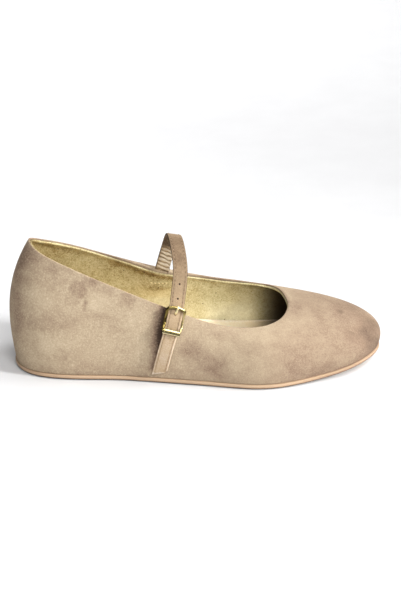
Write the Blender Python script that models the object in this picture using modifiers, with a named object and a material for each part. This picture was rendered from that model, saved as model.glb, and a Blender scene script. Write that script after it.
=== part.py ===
"""A right shoe: a low-cut suede pump on a hidden wedge, with one buckled instep strap.

The tables hold millimetres on the shoe's own axes: x runs from the back of the heel to the toe,
y from the lateral side (negative) to the medial side, and z up from the floor. MM and the frame
shift turn them into metres about the middle of the footprint.
"""

import math
from collections import namedtuple

import bmesh
import bpy
import numpy as np
from mathutils import Matrix, Vector

MM = 0.001
SHOE_LENGTH = 250.0
FRAME_SHIFT = np.array([-SHOE_LENGTH / 2 - 0.3, 2.2, 0.0])

# Clearance between pieces that rest on each other, and between the upper's inside and what lies on it
GAP = 0.3
LINING_GAP = 0.4

# Sole: thickness, how far it stands out round the upper, its trimmed edges and its toe spring
SOLE_THICK = 3.6
SOLE_MARGIN = 0.7
TREAD_TRIM_IN = 1.1
TREAD_TRIM_UP = 0.9
TOP_TRIM = 0.6
TOE_SPRING = 7.6
SPRING_START = 176.0

# Upper: suede and lining together
UPPER_WALL = 1.8

# Insole: height of its top over the sole's underside at the heel and at the toes, where it falls between
# them, how far its middle is dished, and the shares of its height that have a ring of points
HEEL_BED = 30.0
TOE_BED = 11.4
BED_FALL_START = 40.0
BED_FALL_END = 172.0
BED_CUP = 1.4
BED_LEVELS = (0.0, 0.35, 0.7, 1.0)

# Strap: its size, how far its tail's middle runs past the route's end and slants across it, and the
# punched holes, counted up the strap from the buckle's middle bar
STRAP_WIDTH = 9.7
STRAP_THICK = 1.3
TAIL_REACH = 2.4
TAIL_SLANT = 4.0
PRONG_HOLE_UP = 3.8
PRONG_HOLE_RADIUS = 1.2
SPARE_HOLES_UP = (14.9, 25.2)
SPARE_HOLE_RADIUS = 0.8

# Buckle, in its own frame: w across the strap, u up the strap, n away from the foot
BUCKLE_X = 110.9
BUCKLE_Z = 43.8
BUCKLE_LEAN = 0.22
BUCKLE_TOE_TURN = 0.4
BUCKLE_STAND_OFF = 2.2
FRAME_HALF_WIDTH = 5.95
FRAME_HALF_HEIGHT = 8.0
FRAME_WIRE = 0.75
FRAME_RISE = 3.0
TOP_CORNER = 2.0
TOP_BOW = 0.7
LOW_CORNER = 1.4
BAR_THICK = 0.95
LOW_BAR_HALF_HEIGHT = 1.5
MIDDLE_BAR = 0.7
LOOP_INNER = 0.88
TAB_OUTER = 1.5
TAB_WIDTH = 8.6
PRONG_WIDTH = 1.3
PRONG_SLOT = 1.9
PRONG_THICK = 0.55
EYE_START, EYE_END = 60, 335

# Side views in the buckle's (u, n) plane: the tab's back from its loop to its flat end, its slot for
# the prong, and the middle line of the prong's tongue
TAB_BACK = ((-1.2, 1.4), (-4.5, -0.5), (-10.0, -0.85), (-10.0, -1.5))
SLOT_OUTLINE = ((-2.6, -0.6), (3.0, -2.5), (3.0, 2.5), (-2.6, 2.5))
TONGUE = (
    (0.9, 1.12),
    (2.2, 1.1),
    (3.1, 1.35),
    (4.0, 2.2),
    (4.7, 3.2),
    (5.8, 4.0),
    (7.2, 4.25),
    (8.8, 4.2),
    (9.9, 3.95),
)

# Sampling: points round the shoe, up the wall, along the strap, across the insole, on a corner, on an eye
# and round a pin, and the shares of half the buckle's height that have a point on its rails
AROUND = 80
UP_WALL = 12
FINE_UP_WALL = 60
ALONG_STRAP = 72
FINE_ALONG_STRAP = 576
ACROSS_BED = 4
ARC_STEPS = 6
EYE_STEPS = 12
CIRCLE_STEPS = 20
PIN_SIDES = 16
WIRE_ROUNDING = 2
RAIL_STEPS = (0.45, 0.25, 0.1, 0.0, -0.1, -0.25, -0.45)
WELD = 0.01
SHARP_ANGLE = math.radians(40)

# Plain finishes: linear colour, roughness and share of metal
Finish = namedtuple("Finish", "colour roughness metallic")
FINISHES = {
    "tan_sole": Finish((0.68, 0.42, 0.22), 0.5, 0.0),
    "taupe_suede": Finish((0.47, 0.36, 0.27), 0.95, 0.0),
    "gold_sock": Finish((0.62, 0.47, 0.2), 0.45, 0.4),
    "strap_suede": Finish((0.47, 0.35, 0.27), 0.95, 0.0),
    "gold_metal": Finish((0.8, 0.6, 0.25), 0.2, 1.0),
    "gold_prong": Finish((0.8, 0.6, 0.25), 0.2, 1.0),
    "tab_suede": Finish((0.42, 0.32, 0.25), 0.95, 0.0),
}

# One rib of the upper. It leaves the sole's edge at foot, rising by rise and leaning out by lean, and
# reaches the collar at edge, coming in over reach from drop below it.
Rib = namedtuple("Rib", "foot_x foot_y edge_x edge_y edge_z rise lean reach drop")
RIBS = (
    # back of the heel
    Rib(2.9, 0.0, 14.0, 0.0, 88.7, 31.0, 5.3, 17.0, 29.3),
    # lateral side: heel corner, heel, waist, strap, behind the ball, ball, toe side, toe corner
    Rib(11.6, -21.2, 20.0, -10.5, 84.8, 30.0, 4.6, 14.0, 28.0),
    Rib(34.0, -30.2, 38.0, -18.4, 77.6, 28.0, 3.2, 10.5, 27.0),
    Rib(72.0, -32.0, 72.0, -24.5, 64.4, 22.0, 1.8, 6.5, 21.0),
    Rib(105.0, -36.2, 105.0, -27.5, 51.4, 18.0, 0.8, 6.5, 16.0),
    Rib(140.0, -41.8, 139.0, -29.5, 40.0, 14.0, 0.8, 8.0, 10.0),
    Rib(171.0, -45.2, 165.5, -28.0, 37.4, 14.0, 2.0, 12.0, 5.0),
    Rib(206.0, -34.6, 182.5, -18.0, 39.6, 13.0, 4.0, 22.0, 5.0),
    Rib(233.4, -20.8, 187.0, -7.5, 41.6, 14.0, 5.5, 39.0, 6.5),
    # toe tip
    Rib(249.9, 5.0, 187.4, 3.5, 42.2, 16.5, 6.0, 52.6, 6.0),
    # medial side, from the toe back to the heel
    Rib(240.4, 25.4, 184.6, 16.0, 43.0, 16.5, 6.5, 46.0, 5.5),
    Rib(214.5, 37.4, 179.0, 24.5, 43.6, 14.5, 4.0, 28.0, 5.8),
    Rib(176.0, 40.6, 166.0, 28.5, 44.6, 15.0, 1.0, 8.0, 9.0),
    Rib(142.0, 34.6, 140.0, 28.6, 48.0, 16.0, 1.0, 5.0, 13.0),
    Rib(105.0, 26.8, 105.0, 25.0, 56.5, 18.0, 1.4, 4.0, 17.0),
    Rib(72.0, 25.6, 72.0, 23.6, 65.6, 22.0, 2.2, 5.5, 21.0),
    Rib(34.0, 28.2, 38.0, 18.0, 78.0, 28.0, 3.4, 9.5, 27.0),
    Rib(11.6, 20.2, 20.0, 10.0, 85.0, 30.0, 4.6, 14.0, 28.0),
)
TOE_RIB = 9

# The strap's middle line. Wall rows stand off the upper's outside (negative: inside the wall) at a place
# (x, z) on one side; free rows are points in the air over the foot; buckle rows are places in the buckle,
# where the strap lies square. Lean is how far the strap's width dips toward the toe.
WallRow = namedtuple("WallRow", "side x z stand_off lean")
FreeRow = namedtuple("FreeRow", "x y z lean")
BuckleRow = namedtuple("BuckleRow", "w u n")
LATERAL, MEDIAL = -1, 1
INSIDE = -(UPPER_WALL + LINING_GAP + STRAP_THICK / 2)
STRAP_ROUTE = (
    WallRow(MEDIAL, 99.8, 44.0, INSIDE, 0.2),
    WallRow(MEDIAL, 101.4, 53.0, INSIDE - 0.3, 0.2),
    FreeRow(103.1, 21.0, 61.0, 0.2),
    FreeRow(106.0, 19.6, 72.2, 0.18),
    FreeRow(109.2, 12.5, 85.4, 0.15),
    FreeRow(111.3, 0.0, 90.8, 0.13),
    FreeRow(113.6, -13.0, 87.2, 0.14),
    FreeRow(115.2, -24.0, 76.4, 0.15),
    BuckleRow(-1.2, 19.0, 0.6),
    BuckleRow(-0.2, 8.4, 1.0),
    BuckleRow(0.0, 4.0, 2.05),
    BuckleRow(0.0, 0.0, 2.45),
    BuckleRow(0.0, -4.0, 2.05),
    BuckleRow(-0.2, -8.0, 1.1),
    WallRow(LATERAL, 105.4, 24.0, 3.2, BUCKLE_LEAN),
    WallRow(LATERAL, 102.2, 11.5, 2.0, BUCKLE_LEAN),
)


# Curves through tables

def chord_knots(points):
    """Running lengths along the points, for use as a spline's knots."""
    steps = np.linalg.norm(np.diff(points, axis=0), axis=1)
    return np.concatenate([[0.0], np.cumsum(steps)])


def spline_slopes(knots, values, closed):
    """Slopes at the knots that make a cubic through the values bend evenly across each knot."""
    step = np.diff(knots)
    rate = np.diff(values, axis=0) / step[:, None]
    count = len(step) if closed else len(knots)
    system = np.zeros((count, count))
    right = np.zeros((count, values.shape[1]))
    for i in range(count):
        if not closed and i in (0, count - 1):
            inner, end = (1, 0) if i == 0 else (count - 2, count - 2)
            system[i, i], system[i, inner] = 2.0, 1.0
            right[i] = 3.0 * rate[end]
            continue
        before, after = 1.0 / step[i - 1], 1.0 / step[i]
        system[i, i - 1] += before
        system[i, i] += 2.0 * (before + after)
        system[i, (i + 1) % count] += after
        right[i] = 3.0 * (rate[i - 1] * before + rate[i] * after)
    slopes = np.linalg.solve(system, right)
    return np.vstack([slopes, slopes[:1]]) if closed else slopes


def spline(knots, values, places, closed=False):
    """The cubic spline through the values, read at places. A closed one repeats its first value last."""
    slopes = spline_slopes(knots, values, closed)
    span = np.clip(np.searchsorted(knots, places, side="right") - 1, 0, len(knots) - 2)
    step = (knots[span + 1] - knots[span])[:, None]
    f = (places[:, None] - knots[span][:, None]) / step
    return (
        (1 + 2 * f) * (1 - f) ** 2 * values[span]
        + f * (1 - f) ** 2 * step * slopes[span]
        + f**2 * (3 - 2 * f) * values[span + 1]
        + f**2 * (f - 1) * step * slopes[span + 1]
    )


def ease(f):
    """Smooth step from 0 to 1."""
    f = np.clip(f, 0.0, 1.0)
    return f * f * (3.0 - 2.0 * f)


# The last: sole line, wall and insole

def sole_bottom(x):
    forward = np.clip((x - SPRING_START) / (SHOE_LENGTH - SPRING_START), 0.0, None)
    return TOE_SPRING * forward**2


def sole_top(x):
    return sole_bottom(x) + SOLE_THICK


def insole_top(x):
    fall = ease((x - BED_FALL_START) / (BED_FALL_END - BED_FALL_START))
    return sole_bottom(x) + HEEL_BED + (TOE_BED - HEEL_BED) * fall


def ribs_around():
    """The rib table read at AROUND places round the shoe, as many on each side, from the heel's back."""
    rows = np.array(RIBS + RIBS[:1])
    knots = chord_knots(rows[:, :2])
    half = AROUND // 2
    lateral = np.linspace(knots[0], knots[TOE_RIB], half, endpoint=False)
    medial = np.linspace(knots[TOE_RIB], knots[-1], half, endpoint=False)
    return spline(knots, rows, np.concatenate([lateral, medial]), closed=True)


def outward(loop):
    """Unit normals of a closed plan outline that runs from the heel along the lateral side."""
    along = np.roll(loop, -1, axis=0) - np.roll(loop, 1, axis=0)
    normal = np.stack([along[:, 1], -along[:, 0]], axis=1)
    return normal / np.linalg.norm(normal, axis=1)[:, None]


def wall_surface(up_steps):
    """The upper's outside as an array of points [round the shoe, up the wall]."""
    ribs = ribs_around()
    foot, edge = ribs[:, 0:2], ribs[:, 2:4]
    edge_z, rise, lean, reach, drop = ribs[:, 4:9].T
    foot_z = sole_top(foot[:, 0]) + GAP
    fan = (foot - edge) / np.linalg.norm(foot - edge, axis=1)[:, None]
    low = np.column_stack([foot, foot_z])
    low_handle = np.column_stack([foot + outward(foot) * lean[:, None], foot_z + rise])
    high_handle = np.column_stack([edge + fan * reach[:, None], edge_z - drop])
    high = np.column_stack([edge, edge_z])
    t = np.linspace(0.0, 1.0, up_steps + 1)[None, :, None]
    return (
        (1 - t) ** 3 * low[:, None]
        + 3 * t * (1 - t) ** 2 * low_handle[:, None]
        + 3 * t**2 * (1 - t) * high_handle[:, None]
        + t**3 * high[:, None]
    )


def wall_normals(surface):
    """Outward unit normals of the wall's points."""
    around = np.roll(surface, -1, axis=0) - np.roll(surface, 1, axis=0)
    up = np.gradient(surface, axis=1)
    normal = np.cross(around, up)
    normal /= np.linalg.norm(normal, axis=2)[:, :, None]
    return normal


def wall_place(side, x, z):
    """The point of the upper's outside nearest to (x, z) on one side, and its outward normal."""
    surface = wall_surface(FINE_UP_WALL)
    normals = wall_normals(surface)
    wrong_side = surface[:, :, 1] * side < 0
    off = (surface[:, :, 0] - x) ** 2 + (surface[:, :, 2] - z) ** 2 + wrong_side * SHOE_LENGTH**2
    i, j = np.unravel_index(np.argmin(off), off.shape)
    normal = normals[i, j]
    correction = (np.array([x, 0.0, z]) - surface[i, j]) * [1, 0, 1]
    flat = correction - normal * (correction @ normal)
    return surface[i, j] + flat, normal


def inner_loop(depth, height):
    """A loop inside the wall: on each rib, the point this deep in that is height(x) over the floor."""
    surface = wall_surface(FINE_UP_WALL)
    inside = surface - wall_normals(surface) * depth
    loop = []
    for rib in inside:
        above = rib[:, 2] - height(rib[:, 0])
        x, y = (np.interp(0.0, above, rib[:, axis]) for axis in (0, 1))
        loop.append((x, y, height(x)))
    return np.array(loop)


# Meshes

def metres(points):
    return (np.asarray(points) + FRAME_SHIFT) * MM


def clear_scene():
    for obj in list(bpy.data.objects):
        bpy.data.objects.remove(obj)


def new_collection(name):
    collection = bpy.data.collections.new(name)
    bpy.context.scene.collection.children.link(collection)
    return collection


def material(name):
    finish = FINISHES[name]
    made = bpy.data.materials.new(name)
    made.use_nodes = True
    shader = made.node_tree.nodes["Principled BSDF"]
    shader.inputs["Base Color"].default_value = (*finish.colour, 1.0)
    shader.inputs["Roughness"].default_value = finish.roughness
    shader.inputs["Metallic"].default_value = finish.metallic
    return made


def mesh_object(name, bm, collection):
    bmesh.ops.recalc_face_normals(bm, faces=bm.faces)
    mesh = bpy.data.meshes.new(name)
    bm.to_mesh(mesh)
    bm.free()
    obj = bpy.data.objects.new(name, mesh)
    collection.objects.link(obj)
    return obj


def dress(obj, finish):
    """Gives a piece its material and shades it smooth up to sharp corners."""
    obj.data.materials.append(material(finish))
    obj.data.shade_smooth()
    obj.data.set_sharp_from_angle(angle=SHARP_ANGLE)
    return obj


def grid_faces(bm, rows, wrap):
    """Quads between neighbouring rows of vertices; wrap joins each row's end to its start."""
    for low, high in zip(rows, rows[1:]):
        for i in range(len(low) if wrap else len(low) - 1):
            k = (i + 1) % len(low)
            bm.faces.new((low[i], low[k], high[k], high[i]))


def cap_loop(bm, ring, cup=0.0):
    """Closes a ring with strips from its lateral points across to its medial ones, dished by cup."""
    half = len(ring) // 2
    lines = []
    for i in range(1, half):
        start, end = ring[i], ring[-i]
        line = [start]
        for k in range(1, ACROSS_BED):
            f = k / ACROSS_BED
            point = start.co.lerp(end.co, f)
            point.z -= cup * 4 * f * (1 - f) * MM
            line.append(bm.verts.new(point))
        lines.append(line + [end])
    grid_faces(bm, lines, wrap=False)
    for tip, line in ((ring[0], lines[0]), (ring[half], lines[-1])):
        for a, b in zip(line, line[1:]):
            bm.faces.new((tip, a, b))


def lofted(name, rings, collection, top_cup=0.0):
    """A closed solid through rings of points, capped below and above."""
    bm = bmesh.new()
    rows = [[bm.verts.new(p) for p in metres(ring)] for ring in rings]
    grid_faces(bm, rows, wrap=True)
    cap_loop(bm, rows[0])
    cap_loop(bm, rows[-1], top_cup)
    return mesh_object(name, bm, collection)


def cut(obj, cutter):
    boolean = obj.modifiers.new("cut_" + cutter.name, "BOOLEAN")
    boolean.operation = "DIFFERENCE"
    boolean.object = cutter


def as_cutter(obj, cutters):
    """Files an object with the hidden ones that only cut or join."""
    for collection in list(obj.users_collection):
        collection.objects.unlink(obj)
    cutters.objects.link(obj)
    obj.hide_render = True
    obj.display_type = "WIRE"
    return obj


# Shoe pieces

def make_outsole(parts):
    foot = ribs_around()[:, 0:2]
    normal = outward(foot)
    # rows from the tread up: distance out from the upper's foot, height over the tread
    profile = (
        (SOLE_MARGIN - TREAD_TRIM_IN, 0.0),
        (SOLE_MARGIN, TREAD_TRIM_UP),
        (SOLE_MARGIN, SOLE_THICK - TOP_TRIM),
        (SOLE_MARGIN - TOP_TRIM, SOLE_THICK),
    )
    rings = []
    for out, height in profile:
        plan = foot + normal * out
        rings.append(np.column_stack([plan, sole_bottom(plan[:, 0]) + height]))
    return dress(lofted("outsole", rings, parts), "tan_sole")


def make_upper(parts):
    surface = metres(wall_surface(UP_WALL))
    bm = bmesh.new()
    columns = [[bm.verts.new(p) for p in rib] for rib in surface]
    grid_faces(bm, columns + columns[:1], wrap=False)
    upper = dress(mesh_object("upper", bm, parts), "taupe_suede")
    shell = upper.modifiers.new("wall", "SOLIDIFY")
    shell.thickness = UPPER_WALL * MM
    shell.offset = -1.0
    shell.use_even_offset = True
    return upper


def make_insole(parts):
    """The insole and the wedge under it, filling the upper from the sole to the foot bed."""
    rings = []
    for share in BED_LEVELS:
        def level(x, share=share):
            bottom = sole_top(x) + GAP
            return bottom + share * (insole_top(x) - bottom)
        rings.append(inner_loop(UPPER_WALL + LINING_GAP, level))
    return dress(lofted("insole_wedge", rings, parts, BED_CUP), "gold_sock")


# Strap and buckle

def buckle_axes():
    """The buckle's origin on its middle bar, and its directions w to the toe, u up and n off the foot."""
    place, n = wall_place(LATERAL, BUCKLE_X, BUCKLE_Z)
    n = n * [BUCKLE_TOE_TURN, 1.0, 1.0]
    n /= np.linalg.norm(n)
    lean = np.array([BUCKLE_LEAN, 0.0, 1.0])
    u = lean - n * (lean @ n)
    u /= np.linalg.norm(u)
    return place + n * BUCKLE_STAND_OFF, np.cross(u, n), u, n


def route_place(row):
    """A row's point on the strap's middle line, and the direction of the strap's width there."""
    if isinstance(row, BuckleRow):
        origin, *axes = buckle_axes()
        return (*(origin + np.array(row) @ axes), *axes[0])
    level = np.array([1.0, 0.0, -row.lean])
    if isinstance(row, FreeRow):
        return (*row[:3], *level)
    place, normal = wall_place(row.side, row.x, row.z)
    return (*(place + normal * row.stand_off), *(level - normal * (level @ normal)))


def strap_line(count):
    """Points along the strap's middle line, with its directions along, across and away from the foot."""
    route = np.array([route_place(row) for row in STRAP_ROUTE])
    knots = chord_knots(route[:, :3])
    line = spline(knots, route, np.linspace(0.0, knots[-1], count))
    points, width = line[:, :3], line[:, 3:]
    along = np.gradient(points, axis=0)
    along /= np.linalg.norm(along, axis=1)[:, None]
    across = width - along * (along * width).sum(axis=1)[:, None]
    across /= np.linalg.norm(across, axis=1)[:, None]
    return points, along, across, np.cross(along, across)


def make_strap(parts, cutters):
    points, along, across, _ = strap_line(ALONG_STRAP)
    sides = []
    for share in (-0.5, 0.0, 0.5):
        side = points + across * STRAP_WIDTH * share
        tip = side[-1] + along[-1] * (TAIL_REACH - TAIL_SLANT * share)
        sides.append(np.vstack([side, tip]))
    bm = bmesh.new()
    grid_faces(bm, [[bm.verts.new(p) for p in metres(side)] for side in sides], wrap=False)
    strap = dress(mesh_object("strap", bm, parts), "strap_suede")
    shell = strap.modifiers.new("thickness", "SOLIDIFY")
    shell.thickness = STRAP_THICK * MM
    shell.offset = 0.0
    shell.use_even_offset = True
    cut(strap, hole_cutter(PRONG_HOLE_UP, PRONG_HOLE_RADIUS, cutters))
    for up in SPARE_HOLES_UP:
        cut(strap, hole_cutter(up, SPARE_HOLE_RADIUS, cutters))
    return strap


def hole_cutter(up, radius, cutters):
    """A pin through the strap, this far along it above the buckle's middle bar."""
    points, _, _, normals = strap_line(FINE_ALONG_STRAP)
    origin = buckle_axes()[0]
    start = np.argmin(np.linalg.norm(points - origin, axis=1))
    lengths = chord_knots(points)
    i = np.argmin(np.abs(lengths[start] - lengths - up))
    bpy.ops.mesh.primitive_cylinder_add(vertices=PIN_SIDES, radius=radius * MM, depth=STRAP_THICK * 4 * MM)
    pin = bpy.context.object
    pin.name = f"hole_{up:.0f}"
    pin.location = metres(points[i])
    pin.rotation_mode = "QUATERNION"
    pin.rotation_quaternion = Vector(normals[i]).to_track_quat("Z", "Y")
    return as_cutter(pin, cutters)


def buckle_empty(parts):
    origin, w, u, n = buckle_axes()
    empty = bpy.data.objects.new("buckle_place", None)
    turn = Matrix(np.column_stack([w, u, n]).tolist()).to_4x4()
    empty.matrix_world = Matrix.Translation(metres(origin)) @ turn
    parts.objects.link(empty)
    return empty


def arc(centre_a, centre_b, radius, start, end, steps=ARC_STEPS):
    """Points of a circle from one angle to another, both in degrees and both included."""
    for k in range(steps + 1):
        angle = math.radians(start + (end - start) * k / steps)
        yield centre_a + radius * math.cos(angle), centre_b + radius * math.sin(angle)


def frame_line():
    """The buckle frame's wire: a rounded rectangle whose ends rise quickly off the foot."""
    top_w, top_u = FRAME_HALF_WIDTH - TOP_CORNER, FRAME_HALF_HEIGHT - TOP_CORNER
    low_w, low_u = FRAME_HALF_WIDTH - LOW_CORNER, FRAME_HALF_HEIGHT - LOW_CORNER
    plan = list(arc(top_w, top_u, TOP_CORNER, 0, 90))
    plan += [(top_w * share, FRAME_HALF_HEIGHT + TOP_BOW * (1 - share**2)) for share in (0.6, 0.0, -0.6)]
    plan += arc(-top_w, top_u, TOP_CORNER, 90, 180)
    plan += [(-FRAME_HALF_WIDTH, u * FRAME_HALF_HEIGHT) for u in RAIL_STEPS]
    plan += arc(-low_w, -low_u, LOW_CORNER, 180, 270)
    plan += arc(low_w, -low_u, LOW_CORNER, 270, 360)
    plan += [(FRAME_HALF_WIDTH, -u * FRAME_HALF_HEIGHT) for u in RAIL_STEPS]
    steep = [min(abs(u) / FRAME_HALF_HEIGHT, 1.0) for _, u in plan]
    return [(w, u, FRAME_RISE * (1 - (1 - rise) ** 2)) for (w, u), rise in zip(plan, steep)]


def wire_ring(name, points, radius, collection):
    """A round wire along the points and back to the first."""
    curve = bpy.data.curves.new(name, "CURVE")
    curve.dimensions = "3D"
    curve.bevel_depth = radius * MM
    curve.bevel_resolution = WIRE_ROUNDING
    line = curve.splines.new("POLY")
    line.points.add(len(points) - 1)
    for point, place in zip(line.points, points):
        point.co = (*(value * MM for value in place), 1.0)
    line.use_cyclic_u = True
    return curve_to_mesh(name, curve, collection)


def curve_to_mesh(name, curve, collection):
    helper = bpy.data.objects.new(name + "_curve", curve)
    collection.objects.link(helper)
    graph = bpy.context.evaluated_depsgraph_get()
    mesh = bpy.data.meshes.new_from_object(helper.evaluated_get(graph))
    bpy.data.objects.remove(helper)
    bm = bmesh.new()
    bm.from_mesh(mesh)
    bmesh.ops.remove_doubles(bm, verts=bm.verts, dist=WELD * MM)
    return mesh_object(name, bm, collection)


def join(obj, other):
    boolean = obj.modifiers.new("join_" + other.name, "BOOLEAN")
    boolean.operation = "UNION"
    boolean.object = other


def make_buckle_frame(place, parts, cutters):
    """The frame: a bent wire ring with a middle bar and a taller bottom bar joined in."""
    frame = dress(wire_ring("buckle_frame", frame_line(), FRAME_WIRE, parts), "gold_metal")
    # rows of the bars across the frame: name, u, n, half height, half thickness
    bars = (
        ("middle_bar", 0.0, 0.0, MIDDLE_BAR, MIDDLE_BAR),
        ("low_bar", -FRAME_HALF_HEIGHT, FRAME_RISE, LOW_BAR_HALF_HEIGHT, BAR_THICK),
    )
    for name, u, n, half_height, half_thick in bars:
        bpy.ops.mesh.primitive_cylinder_add(vertices=PIN_SIDES, radius=MM, depth=2 * FRAME_HALF_WIDTH * MM)
        bar = bpy.context.object
        bar.name = name
        bar.data.transform(Matrix.Diagonal((half_thick, half_height, 1.0, 1.0)))
        bar.data.transform(Matrix.Rotation(math.radians(90), 4, "Y"))
        bar.location = (0.0, u * MM, n * MM)
        as_cutter(bar, cutters)
        bar.parent = place
        join(frame, bar)
    frame.parent = place
    return frame


def extruded(name, outlines, width, collection):
    """Flat outlines in the (u, n) plane, filled and given a width across the strap."""
    curve = bpy.data.curves.new(name, "CURVE")
    curve.dimensions = "2D"
    curve.fill_mode = "BOTH"
    curve.extrude = width / 2 * MM
    for outline in outlines:
        line = curve.splines.new("POLY")
        line.points.add(len(outline) - 1)
        for point, (u, n) in zip(line.points, outline):
            point.co = (u * MM, n * MM, 0.0, 1.0)
        line.use_cyclic_u = True
    made = curve_to_mesh(name, curve, collection)
    # the outline's plane turns so that its first direction is u and its second is n
    made.data.transform(Matrix(((0, 0, 1, 0), (1, 0, 0, 0), (0, 1, 0, 0), (0, 0, 0, 1))))
    return made


def circle(radius):
    return list(arc(0.0, 0.0, radius, 0, 360, CIRCLE_STEPS))[:-1]


def make_tab(place, parts, cutters):
    """The tab: a loop round the middle bar with a flat end on the upper, under the strap's tail."""
    outline = [*arc(0.0, 0.0, TAB_OUTER, -90, 90), *TAB_BACK]
    tab = dress(extruded("buckle_tab", [outline, circle(LOOP_INNER)], TAB_WIDTH, parts), "tab_suede")
    slot = as_cutter(extruded("prong_slot", [SLOT_OUTLINE], PRONG_SLOT, cutters), cutters)
    for piece in (tab, slot):
        piece.parent = place
    cut(tab, slot)
    return tab


def make_prong(place, parts):
    """The prong: an eye round the middle bar and a flat tongue up through the strap on to the top bar."""
    line = np.array(TONGUE)
    along = np.gradient(line, axis=0)
    along /= np.linalg.norm(along, axis=1)[:, None]
    half = np.column_stack([-along[:, 1], along[:, 0]]) * PRONG_THICK / 2
    eye = arc(0.0, 0.0, LOOP_INNER + PRONG_THICK, EYE_START, EYE_END, EYE_STEPS)
    outline = [*(line + half)[::-1], *eye, *(line - half)]
    prong = dress(extruded("buckle_prong", [outline, circle(LOOP_INNER)], PRONG_WIDTH, parts), "gold_prong")
    prong.parent = place
    return prong


def main():
    clear_scene()
    parts = new_collection("strapped_wedge_shoe")
    cutters = new_collection("cutters")
    make_outsole(parts)
    make_upper(parts)
    make_insole(parts)
    make_strap(parts, cutters)
    place = buckle_empty(parts)
    make_buckle_frame(place, parts, cutters)
    make_tab(place, parts, cutters)
    make_prong(place, parts)


main()
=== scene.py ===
"""The finished look of a right suede wedge shoe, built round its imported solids.

Tables hold millimetres on the shoe's own axes, as in the solids: x from the back of the heel to the toe,
y from the lateral side (negative) to the medial side, z up from the floor. FRAME_SHIFT and MM bring them
into the frame. A SPAN is where a fade starts and how far it runs, a PLACE the middle and spread of a bell.
"""

import math
from collections import namedtuple

import bmesh
import bpy
import numpy as np
from mathutils import Matrix, Vector

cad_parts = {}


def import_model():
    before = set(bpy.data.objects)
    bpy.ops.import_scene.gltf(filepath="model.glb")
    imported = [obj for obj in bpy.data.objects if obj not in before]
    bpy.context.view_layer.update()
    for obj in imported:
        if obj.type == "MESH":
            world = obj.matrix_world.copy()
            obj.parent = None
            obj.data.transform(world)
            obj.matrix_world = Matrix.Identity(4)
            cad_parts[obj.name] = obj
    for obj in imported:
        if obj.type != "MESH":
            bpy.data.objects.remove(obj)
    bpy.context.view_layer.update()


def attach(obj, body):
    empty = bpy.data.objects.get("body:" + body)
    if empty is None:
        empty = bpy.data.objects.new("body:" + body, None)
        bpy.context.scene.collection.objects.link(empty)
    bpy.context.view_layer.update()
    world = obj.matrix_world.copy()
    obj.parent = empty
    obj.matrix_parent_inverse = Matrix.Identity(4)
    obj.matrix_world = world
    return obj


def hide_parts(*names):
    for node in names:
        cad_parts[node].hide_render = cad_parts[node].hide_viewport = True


MM = 0.001
SHOE_LENGTH = 250.0
FRAME_SHIFT = np.array([-SHOE_LENGTH / 2 - 0.3, 2.2, 0.0])

# Sole, upper and insole
SOLE_THICK = 3.6
SOLE_MARGIN = 0.7
TOE_SPRING = 7.6
SPRING_START = 176.0
GAP = 0.3
LINING_GAP = 0.4
HEEL_BED = 30.0
TOE_BED = 11.4
BED_FALL_START = 40.0
BED_FALL_END = 172.0
BED_CUP = 1.4
UPPER_WALL = 1.8
SUEDE_THICK = 1.1
LINING_BACK = 1.2
LINING_FACE = 1.75
LIP_DROP = 0.7
LIP_RADIUS, LIP_HEEL_SWELL = 0.75, 0.25
LIP_TOE_REACH, LIP_HEEL_REACH = 1.4, 1.1
LIP_SAG = 0.25
LIP_TOE_SPAN, LIP_HEEL_SPAN, LIP_SWELL_SPAN = (140, 35), (90, -50), (70, -40)
BEAD_SPREAD, DRAWN_SPREAD = 1.5, 3.0
LINING_TUCK = 2.5
FOOT_TUCK, FOOT_CLEAR = 0.5, 0.04
INSOLE_DEPTH = 1.9

# Strap and buckle
STRAP_WIDTH = 9.7
STRAP_THICK = 1.3
TAIL_REACH = 3.3
TAIL_SLANT = 5.0
PRONG_HOLE_UP = 4.2
PRONG_HOLE_RADIUS = 0.75
SPARE_HOLES_UP = (14.9, 25.2)
SPARE_HOLE_RADIUS = 0.68
PUNCH_LENGTH, PUNCH_FLOOR = 5.0, 0.25
BUCKLE_X = 110.9
BUCKLE_Z = 43.8
BUCKLE_LEAN = 0.22
BUCKLE_TOE_TURN = 0.4
BUCKLE_STAND_OFF = 2.2
FRAME_HALF_WIDTH = 5.8
FRAME_HALF_HEIGHT = 8.0
HEEL_RAIL, TOE_RAIL, TOP_RAIL, LOW_RAIL = 0.92, 0.68, 1.05, 0.65
FRAME_RISE = 3.0
TOP_CORNER = 2.0
TOP_BOW = 0.7
LOW_CORNER = 1.4
BAR_THICK = 0.8
LOW_BAR_HALF_HEIGHT = 1.7
MIDDLE_BAR = 0.7
TAB_OUTER = 1.5
TAB_INNER = 0.88
TAB_WIDTH = 8.6
TAB_LENGTH = 10.0
PRONG_SLOT = 1.9
PRONG_HALF_WIDTH = 0.8
PRONG_HALF_THICK = 0.55
PRONG_LEAN = 0.16
PRONG_EYE_GAP = 0.1
METAL_SHARP, SUEDE_SHARP = 50, 40

# Sampling
AROUND = 420
UP_WALL = 84
ALONG_STRAP = 320
ACROSS_BED = 24
SECTION_SIDES = 20
LINING_ROWS, LINING_BACK_ROWS = 60, 12

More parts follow.
